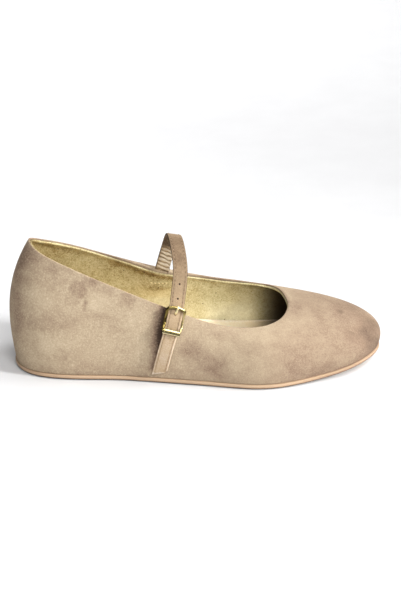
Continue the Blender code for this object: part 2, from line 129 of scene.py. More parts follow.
# One rib of the upper. It leaves the sole's edge at foot, rising by rise and leaning out by lean, and
# reaches the collar at edge, coming in over reach from drop below it.
Rib = namedtuple("Rib", "foot_x foot_y edge_x edge_y edge_z rise lean reach drop")
RIBS = (
    # back of the heel
    Rib(2.9, 0, 14, 0, 88.7, 31, 5.3, 17, 29.3),
    # lateral side: heel corner, heel, waist, strap, behind the ball, ball, toe side, toe corner
    Rib(11.6, -21.2, 20, -10.5, 84.8, 30, 4.6, 14, 28),
    Rib(34, -30.2, 38, -18.4, 77.6, 28, 3.2, 10.5, 27),
    Rib(72, -32, 72, -24.5, 64.4, 22, 1.8, 6.5, 21),
    Rib(105, -36.2, 105, -27.5, 51.4, 18, 0.8, 6.5, 16),
    Rib(140, -41.8, 139, -29.5, 40, 14, 0.8, 8, 10),
    Rib(171, -45.2, 165.5, -28, 37.4, 14, 2, 12, 5),
    Rib(206, -34.6, 182.5, -18, 39.6, 13, 4, 22, 5),
    Rib(233.4, -20.8, 187, -7.5, 41.6, 14, 5.5, 39, 6.5),
    # toe tip
    Rib(249.9, 5, 187.4, 3.5, 42.2, 16.5, 6, 52.6, 6),
    # medial side, from the toe back to the heel
    Rib(240.4, 25.4, 184.6, 16, 43, 16.5, 6.5, 46, 5.5),
    Rib(214.5, 37.4, 179, 24.5, 43.6, 14.5, 4, 28, 5.8),
    Rib(176, 40.6, 166, 28.5, 44.6, 15, 1, 8, 9),
    Rib(142, 34.6, 140, 28.6, 48, 16, 1, 5, 13),
    Rib(105, 26.8, 105, 25, 56.5, 18, 1.4, 4, 17),
    Rib(72, 25.6, 72, 23.6, 65.6, 22, 2.2, 5.5, 21),
    Rib(34, 28.2, 38, 18, 78, 28, 3.4, 9.5, 27),
    Rib(11.6, 20.2, 20, 10, 85, 30, 4.6, 14, 28),
)
TOE_RIB = 9

# The strap's middle line. Wall rows stand off the upper's outside (negative: inside the wall) at a place
# (x, z) on one side; free rows are points in the air over the foot; buckle rows are places in the buckle,
# where the strap lies square. Lean is how far the strap's width dips toward the toe.
WallRow = namedtuple("WallRow", "side x z stand_off lean")
FreeRow = namedtuple("FreeRow", "x y z lean")
BuckleRow = namedtuple("BuckleRow", "w u n")
LATERAL, MEDIAL = -1, 1
INSIDE = -(UPPER_WALL + LINING_GAP + STRAP_THICK / 2)
STRAP_ROUTE = (
    WallRow(MEDIAL, 99.8, 44, INSIDE, 0.2),
    WallRow(MEDIAL, 101.4, 53, INSIDE - 0.3, 0.2),
    FreeRow(103.1, 21, 61, 0.2),
    FreeRow(106, 19.6, 72.2, 0.18),
    FreeRow(109.2, 12.5, 85.4, 0.15),
    FreeRow(111.3, 0, 90.8, 0.13),
    FreeRow(113.6, -13, 87.2, 0.14),
    FreeRow(115.2, -24, 76.4, 0.15),
    BuckleRow(-1.2, 19, 0.6),
    BuckleRow(-0.2, 8.4, 1),
    BuckleRow(0, 4, 2.05),
    BuckleRow(0, 0, 2.45),
    BuckleRow(0, -4, 2.05),
    BuckleRow(-0.2, -8, 1.1),
    WallRow(LATERAL, 105.4, 24, 3.2, BUCKLE_LEAN),
    WallRow(LATERAL, 102.2, 11.5, 2, BUCKLE_LEAN),
)

# Brushed places in the nap, and places painted with shade: middle, half sizes along and up, sharpness of
# the rim, tone (below 0 darker)
Patch = namedtuple("Patch", "x y z half_along half_up rim tone")
NAP_AND_SHADING_PATCHES = (
    # heel: round spot and its drag mark, darker top of the back, painted shade down the back edge where the
    # heel turns from the light, under the collar, broad cloud at half height, low, and two lighter places
    Patch(47.8, -24.4, 63, 6, 6, 9, -0.12),
    Patch(52.4, -27.4, 53.2, 1.3, 5, 2.5, -0.2),
    Patch(15.3, -9, 82.5, 9, 9, 1.2, -0.15),
    Patch(6.4, -6, 70, 6, 14, 1.2, -0.2),
    Patch(7.1, -17.6, 44.9, 5, 16, 1.2, -0.16),
    Patch(32.9, -18.4, 75.4, 9, 2.6, 1.5, -0.1),
    Patch(36, -29.4, 40.9, 15, 6, 1.2, -0.08),
    Patch(22, -27.6, 36.2, 5, 3, 1.5, -0.08),
    Patch(38.2, -31.6, 19.6, 7, 6, 1.5, -0.06),
    Patch(28.5, -30.1, 26.6, 12, 8, 1.2, 0.13),
    Patch(25.1, -24.2, 55.2, 12, 9, 1.2, 0.07),
    # waist: a broad pale field, small clouds under the collar and at half height, lighter between
    Patch(78, -32, 26, 48, 28, 1, 0.07),
    Patch(56.8, -23.1, 68.7, 6, 3, 1.5, -0.1),
    Patch(67.9, -24.7, 63.7, 6, 2.5, 1.5, -0.06),
    Patch(79.7, -26.8, 56.5, 7, 5, 1.5, -0.12),
    Patch(63.9, -29.4, 45.4, 9, 3, 1.5, -0.07),
    Patch(74.4, -31.2, 36.1, 7, 4, 1.5, -0.09),
    Patch(61.1, -32.1, 10.5, 10, 5, 1.5, -0.06),
    Patch(60.1, -27.4, 53.9, 12, 6, 1.2, 0.12),
    Patch(86.4, -30.2, 43.9, 9, 9, 1.2, 0.06),
    # ball: two dark clouds before the strap's tail, fainter ones toward the toe, dull along the sole
    Patch(123.7, -36.9, 24.7, 8.5, 7.5, 1.2, -0.16),
    Patch(137, -40.8, 14.6, 8.5, 7.5, 1.2, -0.2),
    Patch(140.4, -33.8, 33.9, 8, 4, 1.5, -0.06),
    Patch(162.4, -39, 28.1, 8, 4, 1.5, -0.06),
    Patch(170.3, -34, 33.4, 10, 6, 1.2, 0.02),
    Patch(190.4, -34.9, 27.1, 6, 4, 1.5, -0.06),
    Patch(196, -36, 12.1, 28, 9, 1, -0.11),
    Patch(189, -37, 20, 24, 14, 1, -0.09),
    # vamp and toe: clouds at the throat, painted shade along the far side, two small spots, a lighter rub
    # on the near side, and a darker tip in a broad dark field, partly darker nap and partly painted shade
    Patch(190.6, -7.4, 41, 8, 8, 1.2, -0.05),
    Patch(212, 17, 38.5, 26, 12, 1.2, -0.05),
    Patch(229, 8, 35, 14, 9, 1.2, -0.06),
    Patch(206.4, -8.4, 38.2, 4, 5, 1.5, -0.07),
    Patch(223.3, 0.1, 36.1, 2.4, 3.6, 1.5, -0.1),
    Patch(231, -21, 24, 6, 7, 1.2, -0.05),
    Patch(219, -17, 29, 7, 9, 1.2, 0.07),
    Patch(222, -28, 11, 11, 7, 1.2, 0.07),
    Patch(246, -5.4, 24, 12, 14, 1.2, -0.2),
    Patch(234.1, 21.1, 31.1, 8, 8, 1.2, -0.1),
    Patch(205, 2, 40, 13, 12, 1, -0.06),
    Patch(230, -5, 25, 32, 40, 1, -0.17),
)
# The sides that the photograph doesn't show get clouds of the same kind, placed by a fixed seed: smallest
# and largest half sizes, rim, and the tones to draw from
HIDDEN_CLOUDS, CLOUD_SEED = 34, 11
CLOUD_SMALLEST, CLOUD_LARGEST, CLOUD_RIM = (4, 3), (13, 8), 1.3
CLOUD_TONES = (-0.1, -0.07, -0.04, 0.05)
# What is drawn in the nap wanders by broad waves and small ripples
WAVE_SIZE, RIPPLE_SIZE = 1.6, 0.4

# The painted shadow that the buckle and the strap's tail cast along their heel side: its place at floor
# level and its lean, then its spread and tone low down and beside the buckle
STRAP_SHADOW_X, STRAP_SHADOW_LEAN = 94.5, 0.25
STRAP_SHADOW_SPREAD, STRAP_SHADOW_TONE = (3.5, 6.0), (-0.35, -0.7)
STRAP_SHADOW_START_SPAN, STRAP_SHADOW_BUCKLE_SPAN = (6, 6), (15, 25)
# Tone along the sole's edge, and on the turned collar edge, with painted shade on its medial side
SOLE_BAND_SPREAD, SOLE_BAND_TONE = 6.0, -0.07
MEDIAL_EDGE_SHADE, LATERAL_EDGE_TONE, POCKET_EDGE_TONE = -0.12, -0.02, 0.03
# The grain is pebbled at the heel and finer toward the toe
PEBBLE_SPAN = (190, -110)

# Soft troughs and ridges in the suede: from one point to another, width, and depth (negative stands out)
Crease = namedtuple("Crease", "x0 y0 z0 x1 y1 z1 width depth")
CREASES = (
    # the short drag mark under the round spot
    Crease(51.3, -26.4, 57, 53.6, -28.5, 49.3, 1.1, 0.16),
    # the wall draws in a little where the strap's tail holds it, and behind the ball
    Crease(116, -31, 43, 121, -37, 20, 7, 0.25),
    Crease(148, -33, 37, 140, -42, 12, 9, 0.2),
    # flex of the forefoot on the medial side
    Crease(166, 31, 41, 160, 39, 18, 7, 0.3),
    Crease(150, 31, 44, 152, 37, 20, 6, -0.2),
    # the counter's front edge shows as a soft ridge inside the heel
    Crease(68, 25, 62, 60, 28, 12, 5, -0.18),
)


# Curves through tables

def chord_knots(points):
    """Running lengths along the points, for use as a spline's knots."""
    steps = np.linalg.norm(np.diff(points, axis=0), axis=1)
    return np.concatenate([[0.0], np.cumsum(steps)])


def spline_slopes(knots, values, closed):
    """Slopes at the knots that make a cubic through the values bend evenly across each knot."""
    step = np.diff(knots)
    rate = np.diff(values, axis=0) / step[:, None]
    count = len(step) if closed else len(knots)
    system, right = np.zeros((count, count)), np.zeros((count, values.shape[1]))
    for i, (length, slope) in enumerate(zip(step, rate)):
        ahead = (i + 1) % count
        for knot, other in ((i, ahead), (ahead, i)):
            system[knot, knot] += 2.0 / length
            system[knot, other] += 1.0 / length
            right[knot] += 3.0 * slope / length
    slopes = np.linalg.solve(system, right)
    return np.vstack([slopes, slopes[:1]]) if closed else slopes


def spline(knots, values, places, closed=False):
    """The cubic spline through the values, read at the places. A closed one ends on its first value."""
    slopes = spline_slopes(knots, values, closed)
    span = np.clip(np.searchsorted(knots, places, side="right") - 1, 0, len(knots) - 2)
    step = (knots[span + 1] - knots[span])[:, None]
    f = (places[:, None] - knots[span][:, None]) / step
    return (
        (1 + 2 * f) * (1 - f) ** 2 * values[span]
        + f * (1 - f) ** 2 * step * slopes[span]
        + f**2 * (3 - 2 * f) * values[span + 1]
        + f**2 * (f - 1) * step * slopes[span + 1]
    )


def fade(value, start, run):
    """Smooth step from 0 at start to 1 where the run ends. A negative run goes back from the start."""
    f = np.clip((value - start) / run, 0.0, 1.0)
    return f * f * (3.0 - 2.0 * f)


def bell(value, middle, spread):
    """Soft hump, 1 at the middle."""
    return np.exp(-(((value - middle) / spread) ** 2))


def unit(vectors):
    return vectors / np.linalg.norm(vectors, axis=-1)[..., None]


# The last: sole line, wall and insole

def sole_bottom(x):
    forward = np.clip((x - SPRING_START) / (SHOE_LENGTH - SPRING_START), 0.0, None)
    return TOE_SPRING * forward**2


def sole_top(x):
    return sole_bottom(x) + SOLE_THICK


def insole_top(x):
    fall = fade(x, BED_FALL_START, BED_FALL_END - BED_FALL_START)
    return sole_bottom(x) + HEEL_BED + (TOE_BED - HEEL_BED) * fall


def ribs_around():
    """The rib table read at places round the shoe, as many on each side, from the heel's back."""
    rows = np.array(RIBS + RIBS[:1])
    knots = chord_knots(rows[:, :2])
    half = AROUND // 2
    lateral = np.linspace(knots[0], knots[TOE_RIB], half, endpoint=False)
    medial = np.linspace(knots[TOE_RIB], knots[-1], half, endpoint=False)
    return spline(knots, rows, np.concatenate([lateral, medial]), closed=True)


def outward(loop):
    """Unit normals of a closed plan outline that runs from the heel along the lateral side."""
    along = np.roll(loop, -1, axis=0) - np.roll(loop, 1, axis=0)
    return unit(np.stack([along[:, 1], -along[:, 0]], axis=1))


def wall_surface():
    """The upper's outside as an array of points [round the shoe, up the wall]."""
    ribs = ribs_around()
    foot, edge = ribs[:, 0:2], ribs[:, 2:4]
    edge_z, rise, lean, reach, drop = ribs[:, 4:9].T
    foot_z = sole_top(foot[:, 0]) + GAP
    low = np.column_stack([foot, foot_z])
    low_handle = np.column_stack([foot + outward(foot) * lean[:, None], foot_z + rise])
    high_handle = np.column_stack([edge + unit(foot - edge) * reach[:, None], edge_z - drop])
    high = np.column_stack([edge, edge_z])
    t = np.linspace(0.0, 1.0, UP_WALL + 1)[None, :, None]
    return (
        (1 - t) ** 3 * low[:, None]
        + 3 * t * (1 - t) ** 2 * low_handle[:, None]
        + 3 * t**2 * (1 - t) * high_handle[:, None]
        + t**3 * high[:, None]
    )


class Wall:
    """The upper's outside with its normals, read by rib and by distance below the collar."""

    def __init__(self):
        self.points = wall_surface()
        around = np.roll(self.points, -1, axis=0) - np.roll(self.points, 1, axis=0)
        self.normals = unit(np.cross(around, np.gradient(self.points, axis=1)))
        steps = np.linalg.norm(np.diff(self.points, axis=1), axis=2)
        self.rim_up = unit(self.points[:, -1] - self.points[:, -2])
        self.below = np.zeros(self.points.shape[:2])
        self.below[:, :-1] = np.cumsum(steps[:, ::-1], axis=1)[:, ::-1]

    def down(self, distance):
        """Points and normals this far below the collar: one distance, or one for each rib."""
        distance = np.broadcast_to(distance, len(self.points))
        points, normals = np.empty((2, len(self.points), 3))
        for i, far in enumerate(distance):
            for read, table in ((points, self.points), (normals, self.normals)):
                read[i] = [np.interp(far, self.below[i, ::-1], column[::-1]) for column in table[i].T]
        return points, unit(normals)

    def place(self, side, x, z):
        """The point of the outside nearest to (x, z) on one side, and its outward normal."""
        wrong_side = self.points[:, :, 1] * side < 0
        away = (self.points[:, :, 0] - x) ** 2 + (self.points[:, :, 2] - z) ** 2
        off = away + wrong_side * SHOE_LENGTH**2
        i, j = np.unravel_index(np.argmin(off), off.shape)
        normal = self.normals[i, j]
        correction = (np.array([x, 0.0, z]) - self.points[i, j]) * [1, 0, 1]
        return self.points[i, j] + correction - normal * (correction @ normal), normal

    def drop_to(self, depth, height):
        """For each rib, how far below the collar the wall at this depth comes down to height(x)."""
        inside = self.points - self.normals * depth
        above = inside[:, :, 2] - height(inside[:, :, 0])
        return np.array([np.interp(0.0, over, far) for over, far in zip(above, self.below)])


# Meshes

def metres(points):
    return (np.asarray(points) + FRAME_SHIFT) * MM


def placed(name, data):
    """A new object with this data, in the scene."""
    obj = bpy.data.objects.new(name, data)
    bpy.context.scene.collection.objects.link(obj)
    return obj


def new_object(name, verts, faces, materials, attributes=None, face_materials=None):
    """A smooth mesh in metres with its materials, point attributes and the material of each face."""
    mesh = bpy.data.meshes.new(name)
    mesh.from_pydata([tuple(v) for v in verts], [], faces)
    for material in materials:
        mesh.materials.append(material)
    if face_materials is not None:
        mesh.polygons.foreach_set("material_index", np.asarray(face_materials, dtype=np.int32))
    mesh.shade_smooth()
    obj = placed(name, mesh)
    for key, values in (attributes or {}).items():
        set_tone(obj, key, values)
    return obj


def set_tone(obj, key, values):
    """Stores a number for each point of a mesh, for its material to read."""
    layer = obj.data.attributes.new(key, "FLOAT", "POINT")
    layer.data.foreach_set("value", np.ravel(values).astype(np.float32))


def grid_faces(rows, columns, wrap_rows=False, wrap_columns=False):
    """Quads of a grid of points numbered row by row."""
    faces = []
    for r in range(rows if wrap_rows else rows - 1):
        for c in range(columns if wrap_columns else columns - 1):
            low, high = r * columns, (r + 1) % rows * columns
            k = (c + 1) % columns
            faces.append((low + c, low + k, high + k, high + c))
    return faces


def tube_faces(rings, sides):
    """Faces of a tube through rings, closed at both ends."""
    last = (rings - 1) * sides
    ends = [tuple(range(sides))[::-1], tuple(range(last, last + sides))]
    return grid_faces(rings, sides, wrap_columns=True) + ends


def cap_strips(verts, ring, flip, cup=0.0):
    """Adds points and faces that close a ring with strips from its lateral to its medial side."""
    half = len(ring) // 2
    lines, faces = [], []
    for i in range(1, half):
        start, end = verts[ring[i]], verts[ring[-i]]
        line = [ring[i]]
        for k in range(1, ACROSS_BED):
            f = k / ACROSS_BED
            line.append(len(verts))
            verts.append(start + (end - start) * f - np.array([0.0, 0.0, cup * 4 * f * (1 - f)]))
        lines.append(line + [ring[-i]])
    for low, high in zip(lines, lines[1:]):
        faces += [(low[k], low[k + 1], high[k + 1], high[k]) for k in range(ACROSS_BED)]
    faces += [(lines[0][k + 1], lines[0][k], ring[0]) for k in range(ACROSS_BED)]
    faces += [(lines[-1][k], lines[-1][k + 1], ring[half]) for k in range(ACROSS_BED)]
    return [face[::-1] for face in faces] if flip else faces


def lofted(name, rings, material, top_cup=0.0):
    """A closed body through rings from the bottom up, capped with strips."""
    count = len(rings[0])
    verts = [point for ring in rings for point in ring]
    faces = grid_faces(len(rings), count, wrap_columns=True)
    faces += cap_strips(verts, list(range(count)), True)
    top = (len(rings) - 1) * count
    faces += cap_strips(verts, list(range(top, top + count)), False, top_cup)
    return new_object(name, metres(verts), faces, [material])


def shell(name, rings, material, tones):
    """A closed wall round the shoe, through rings that go over both its faces."""
    faces = grid_faces(*rings.shape[:2], wrap_rows=True, wrap_columns=True)
    return new_object(name, metres(rings.reshape(-1, 3)), faces, [material], tones)


def keep(obj, slot, *nodes):
    """Makes an object a piece of the shoe, standing for the given solids."""
    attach(obj, "root")
    if nodes:
        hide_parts(*nodes)


# Colours in sRGB from 0 to 255, in ramps with their places on the tone from 0 to 1
SUEDE_STOPS = (
    (0.0, (72, 57, 48)),
    (0.3, (143, 121, 102)),
    (0.55, (180, 161, 135)),
    (0.8, (203, 186, 159)),
    (1.0, (218, 205, 182)),
)
STRAP_STOPS = ((0.0, (84, 64, 50)), (0.5, (183, 158, 127)), (1.0, (229, 216, 199)))
EDGE_STOPS = ((0.0, (70, 58, 48)), (0.5, (190, 164, 134)), (1.0, (222, 200, 172)))
GATHER_STOPS = ((0.0, (66, 50, 38)), (0.45, (174, 150, 118)), (1.0, (236, 223, 200)))
LINING_STOPS = ((0.0, (44, 30, 15)), (0.25, (143, 121, 72)), (0.5, (202, 191, 146)), (1.0, (246, 241, 210)))
SOCK_STOPS = ((0.0, (56, 42, 26)), (0.25, (204, 174, 134)), (0.5, (240, 216, 178)), (1.0, (255, 248, 230)))
SOLE_STOPS = ((0.0, (46, 37, 30)), (0.25, (140, 112, 88)), (0.5, (180, 150, 120)), (1.0, (216, 188, 156)))
METAL_STOPS = ((0.0, (92, 77, 34)), (0.4, (154, 137, 84)), (0.8, (216, 202, 158)), (1.0, (242, 227, 176)))
# dark walls and floors of the punched holes: painted shade in the holes
HOLE_SHADE_STOPS = ((0.2, (66, 46, 32)), (0.8, (96, 70, 50)))
PAPER_STOPS = ((0.3, (225, 225, 226)), (0.7, (228, 228, 229)))
# colour of the painted shade deep in the toe box
TOE_BOX_SHADE_COLOUR = (50, 32, 14)
SHEEN_COLOUR = (235, 218, 192)
STRAP_THREAD, LINING_THREAD = (172, 146, 116), (244, 230, 180)


# Materials

class Nodes:
    """Short calls for building the nodes of one material, or of the world."""

    def __init__(self, name, owners="materials", shader="Principled BSDF", place="Object"):
        self.owner = getattr(bpy.data, owners).new(name)
        self.owner.use_nodes = True
        self.tree = self.owner.node_tree
        self.shader = self.tree.nodes[shader]
        self.place = self.add("ShaderNodeTexCoord").outputs[place]

    def add(self, kind, inputs=None, **settings):
        """A new node with its settings, and with values or other nodes' outputs as its inputs."""
        node = self.tree.nodes.new(kind)
        for key, value in settings.items():
            setattr(node, key, value)
        for key, value in (inputs or {}).items():
            self.feed(node.inputs[key], value)
        return node

    def feed(self, socket, value):
        if isinstance(value, bpy.types.NodeSocket):
            self.tree.links.new(value, socket)
        else:
            socket.default_value = value

    def noise(self, size_mm, detail=3.0, roughness=0.55, stretch=(1.0, 1.0, 1.0)):
        """Noise from 0 to 1 whose blotches are about size_mm across."""
        place = self.add("ShaderNodeMapping", {"Vector": self.place, "Scale": stretch}).outputs["Vector"]
        inputs = {"Vector": place, "Scale": 1.0 / (size_mm * MM), "Detail": detail, "Roughness": roughness}
        return self.add("ShaderNodeTexNoise", inputs).outputs["Fac"]

    def cells(self, size_mm, feature="DISTANCE_TO_EDGE"):
        inputs = {"Vector": self.place, "Scale": 1.0 / (size_mm * MM)}
        return self.add("ShaderNodeTexVoronoi", inputs, feature=feature).outputs["Distance"]

    def attribute(self, name):
        return self.add("ShaderNodeAttribute", attribute_name=name).outputs["Fac"]

    def math(self, operation, a, b):
        return self.add("ShaderNodeMath", {0: a, 1: b}, operation=operation).outputs["Value"]

    def weighted(self, terms, start=0.5):
        """start plus each value's distance from its middle, times its weight."""
        total = start
        for value, middle, weight in terms:
            part = self.math("MULTIPLY", self.math("SUBTRACT", value, middle), weight)
            total = self.math("ADD", total, part)
        return total

    def ramp(self, value, stops):
        """Colours from stops of (place, sRGB colour in 0 to 255)."""
        node = self.add("ShaderNodeValToRGB", {"Fac": value})
        elements = node.color_ramp.elements
        while len(elements) < len(stops):
            elements.new(0.5)
        for element, (place, colour) in zip(elements, stops):
            element.position = place
            element.color = linear(colour)
        return node.outputs["Color"]

    def mix(self, share, start, end):
        """The start colour, giving way to the end colour as the share goes from 0 to 1."""
        return self.add("ShaderNodeMix", {0: share, 6: start, 7: end}, data_type="RGBA").outputs[2]

    def bump(self, height, distance_mm, strength=1.0, under=None):
        inputs = {"Height": height, "Distance": distance_mm * MM, "Strength": strength}
        if under is not None:
            inputs["Normal"] = under
        return self.add("ShaderNodeBump", inputs).outputs["Normal"]

    def finish(self, **inputs):
        """Sets the shader's inputs, written with underscores for spaces."""
        for key, value in inputs.items():
            self.feed(self.shader.inputs[key.replace("_", " ")], value)
        return self.owner


def linear(colour):
    """An sRGB colour in 0 to 255 as linear RGBA."""
    share = [value / 255 for value in colour]
    return (*(c / 12.92 if c <= 0.04045 else ((c + 0.055) / 1.055) ** 2.4 for c in share), 1.0)


def suede_material(name, stops, with_nap=True):
    """Brushed suede: nap, painted shade, mottling, painted glints; a fine fibrous bump and a soft sheen."""
    n = Nodes(name)
    broad, cloud, mottle = n.noise(26.0, 2.0), n.noise(9.0, 3.0), n.noise(3.0, 2.0)
    grain, fibre = n.noise(1.0, 2.0, 0.6), n.noise(0.4, 3.0, 0.7)
    terms = [(broad, 0.5, 0.2), (cloud, 0.5, 0.22), (mottle, 0.5, 0.1)]
    terms += [(grain, 0.5, 0.25), (fibre, 0.5, 0.38)]
    if with_nap:
        # pebbled grain, with painted glints on its tufts
        tuft = n.noise(1.2, 1.0, 0.5)
        glint = n.math("MAXIMUM", n.math("SUBTRACT", tuft, 0.56), 0.0)
        pebble = n.weighted([(tuft, 0.5, 0.24), (glint, 0.0, 0.4)], 0.0)
        pebble = n.math("MULTIPLY", pebble, n.attribute("pebble"))
        terms += [(n.attribute("nap_and_shading"), 0.0, 1.0), (pebble, 0.0, 1.0)]
    normal = n.bump(fibre, 0.16, 0.5, n.bump(grain, 0.3, 0.6))
    return n.finish(
        Base_Color=n.ramp(n.weighted(terms), stops),
        Roughness=0.95,
        Specular_IOR_Level=0.12,
        Sheen_Weight=0.05,
        Sheen_Roughness=0.5,
        Sheen_Tint=linear(SHEEN_COLOUR),
        Normal=normal,
    )


def gold_leather_material(name, stops, metallic, roughness):
    """Metallic-finished leather: a fine crackled grain, uneven gilding, a few pin pricks and painted
    toe-box shade.
    """
    n = Nodes(name)
    crackle, broad = n.cells(0.9), n.noise(16.0, 3.0)
    blotch, speck, fleck = n.noise(4.5, 2.0), n.noise(1.5, 3.0, 0.7), n.noise(0.7, 2.0, 0.7)
    prick = n.math("LESS_THAN", n.cells(8.5, "F1"), 0.055)
    tone = n.weighted([
        (broad, 0.5, 0.4),
        (blotch, 0.5, 0.25),
        (speck, 0.5, 0.5),
        (fleck, 0.5, 0.7),
        (n.attribute("shade"), 0.0, 1.0),
        (prick, 0.0, -0.45),
    ])
    normal = n.bump(crackle, 0.14, 0.6, n.bump(speck, 0.3, 0.6))
    return n.finish(
        # toward the toe box the colour gives way to a painted shade colour
        Base_Color=n.mix(n.attribute("toe_box_shade"), n.ramp(tone, stops), linear(TOE_BOX_SHADE_COLOUR)),
        Metallic=metallic,
        Roughness=n.weighted([(speck, 0.5, 0.35)], roughness),
        Normal=normal,
    )


def sole_material():
    """Tan sole stock with faint lengthwise grain, painted contact shadow by the floor and painted shade by
    the suede.
    """
    n = Nodes("tan_sole")
    streak, speck = n.noise(3.0, 4.0, 0.6, (0.25, 1.0, 3.0)), n.noise(0.6, 2.0)
    tone = n.weighted([(streak, 0.5, 0.3), (speck, 0.5, 0.15), (n.attribute("shade"), 0.0, 1.0)], 0.57)
    normal = n.bump(streak, 0.1, 0.3, n.bump(speck, 0.08, 0.4))
    return n.finish(Base_Color=n.ramp(tone, SOLE_STOPS), Roughness=0.6, Normal=normal)


def gold_metal_material(name, roughness):
    """Polished gold-coloured metal: faint handling marks, painted shade, dark reflections and highlights.
    """
    n = Nodes(name)
    marks = n.noise(0.7, 4.0, 0.6, (1.0, 1.0, 0.25))
    tone = n.weighted([(marks, 0.5, 0.4), (n.attribute("metal_light_and_shade"), 0.0, -1.0)], 0.8)
    return n.finish(
        Base_Color=n.ramp(tone, METAL_STOPS),
        Metallic=1.0,
        Roughness=n.weighted([(marks, 0.5, 0.12)], roughness),
        Normal=n.bump(marks, 0.02, 0.2),
    )


def smooth_leather_material(name, stops, roughness):
    """Finished leather or waxed thread with a fine speckle."""
    n = Nodes(name)
    speck = n.noise(0.7, 3.0, 0.6)
    return n.finish(Base_Color=n.ramp(speck, stops), Roughness=roughness, Normal=n.bump(speck, 0.1, 0.4))


def gathered_material():
    """The gathered lining behind the strap: pale on its ridges, brown with painted shade in its valleys."""
    n = Nodes("strap_gathers")
    tone = n.weighted([(n.attribute("fold"), 0.5, 0.9), (n.noise(1.2, 3.0), 0.5, 0.35)])
    normal = n.bump(n.noise(0.6, 3.0), 0.12, 0.5)
    return n.finish(Base_Color=n.ramp(tone, GATHER_STOPS), Roughness=0.5, Normal=normal)


# Upper

def relief(points):
    """How far the listed creases move the suede in (positive) at the points."""
    moved = np.zeros(points.shape[:-1])
    for crease in CREASES:
        start, end = np.array(crease[0:3]), np.array(crease[3:6])
        along = end - start
        share = np.clip(((points - start) @ along) / (along @ along), 0.0, 1.0)
        off = np.linalg.norm(points - start - share[..., None] * along, axis=-1)
        moved += crease.depth * bell(off, 0.0, crease.width)
    return moved


def wandering(points):
    """How far to move each point, so that what is drawn by them has an uneven outline."""
    x, y, z = np.moveaxis(points, -1, 0)
    waves = [np.sin(0.41 * z + 0.23 * y), np.sin(0.37 * x + 0.5), np.sin(0.33 * x + 0.47 * z + 1.0)]
    ripples = [np.sin(1.1 * z + 0.9), np.sin(0.9 * x + 0.7 * z), np.sin(1.3 * x + 0.2)]
    return WAVE_SIZE * np.stack(waves, axis=-1) + RIPPLE_SIZE * np.stack(ripples, axis=-1)


def cloud_tone(points, patch):
    off = points - np.array(patch[:3])
    along = off[..., 0] / patch.half_along
    up = np.hypot(off[..., 1], off[..., 2]) / patch.half_up
    return patch.tone * np.exp(-((along**2 + up**2) ** patch.rim))


def hidden_clouds(wall):
    """Clouds on the medial side and the back of the heel."""
    dice = np.random.default_rng(CLOUD_SEED)
    around, up = wall.points.shape[:2]
    for _ in range(HIDDEN_CLOUDS):
        place = wall.points[dice.integers(around // 2 + around // 12, around), dice.integers(0, up)]
        size = dice.uniform(CLOUD_SMALLEST, CLOUD_LARGEST)
        yield Patch(*place, *size, CLOUD_RIM, dice.choice(CLOUD_TONES))


def painted_strap_shadow(points):
    """The painted shadow that the buckle and the strap's tail cast along their heel side."""
    x, y, z = np.moveaxis(points, -1, 0)
    beside_buckle = fade(z, *STRAP_SHADOW_BUCKLE_SPAN)
    spread, tone = (low + (high - low) * beside_buckle for low, high in (STRAP_SHADOW_SPREAD, STRAP_SHADOW_TONE))
    return tone * bell(x, STRAP_SHADOW_X + STRAP_SHADOW_LEAN * z, spread) * fade(z, *STRAP_SHADOW_START_SPAN) * (y < 0)


def nap_and_shading_tone(points, wall):
    """The nap's tone with painted shade: brushed and shaded places, a darker band along the sole, and the
    painted shadow beside the strap.
    """
    wander = wandering(points)
    sole_edge = sole_top(points[..., 0])
    tone = painted_strap_shadow(points) + SOLE_BAND_TONE * bell(points[..., 2], sole_edge, SOLE_BAND_SPREAD)
    for patch in (*NAP_AND_SHADING_PATCHES, *hidden_clouds(wall)):
        tone += cloud_tone(points + wander / patch.rim, patch)
    return tone


# The strap's end is sewn in between suede and lining, which stands in over it: middle and spread along the
# collar, lower edge, softness of that edge, and how far it stands in
POCKET_X, POCKET_SPREAD = 101.0, 18.0
POCKET_LOW, POCKET_SOFT, POCKET_RISE = 45.0, 12.0, 3.0


def pocket(points):
    """How far the lining stands in over the strap's sewn end, 0 away from it."""
    x, y, z = np.moveaxis(points, -1, 0)
    low = fade(z, POCKET_LOW - POCKET_SOFT, POCKET_SOFT)
    return POCKET_RISE * bell(x, POCKET_X, POCKET_SPREAD) * low * (y > 0)


def lip_reach(x):
    """How far the lip comes up: past the collar edge at the toe end, level with it at the heel."""
    return LIP_TOE_REACH * fade(x, *LIP_TOE_SPAN) + LIP_HEEL_REACH * fade(x, *LIP_HEEL_SPAN)


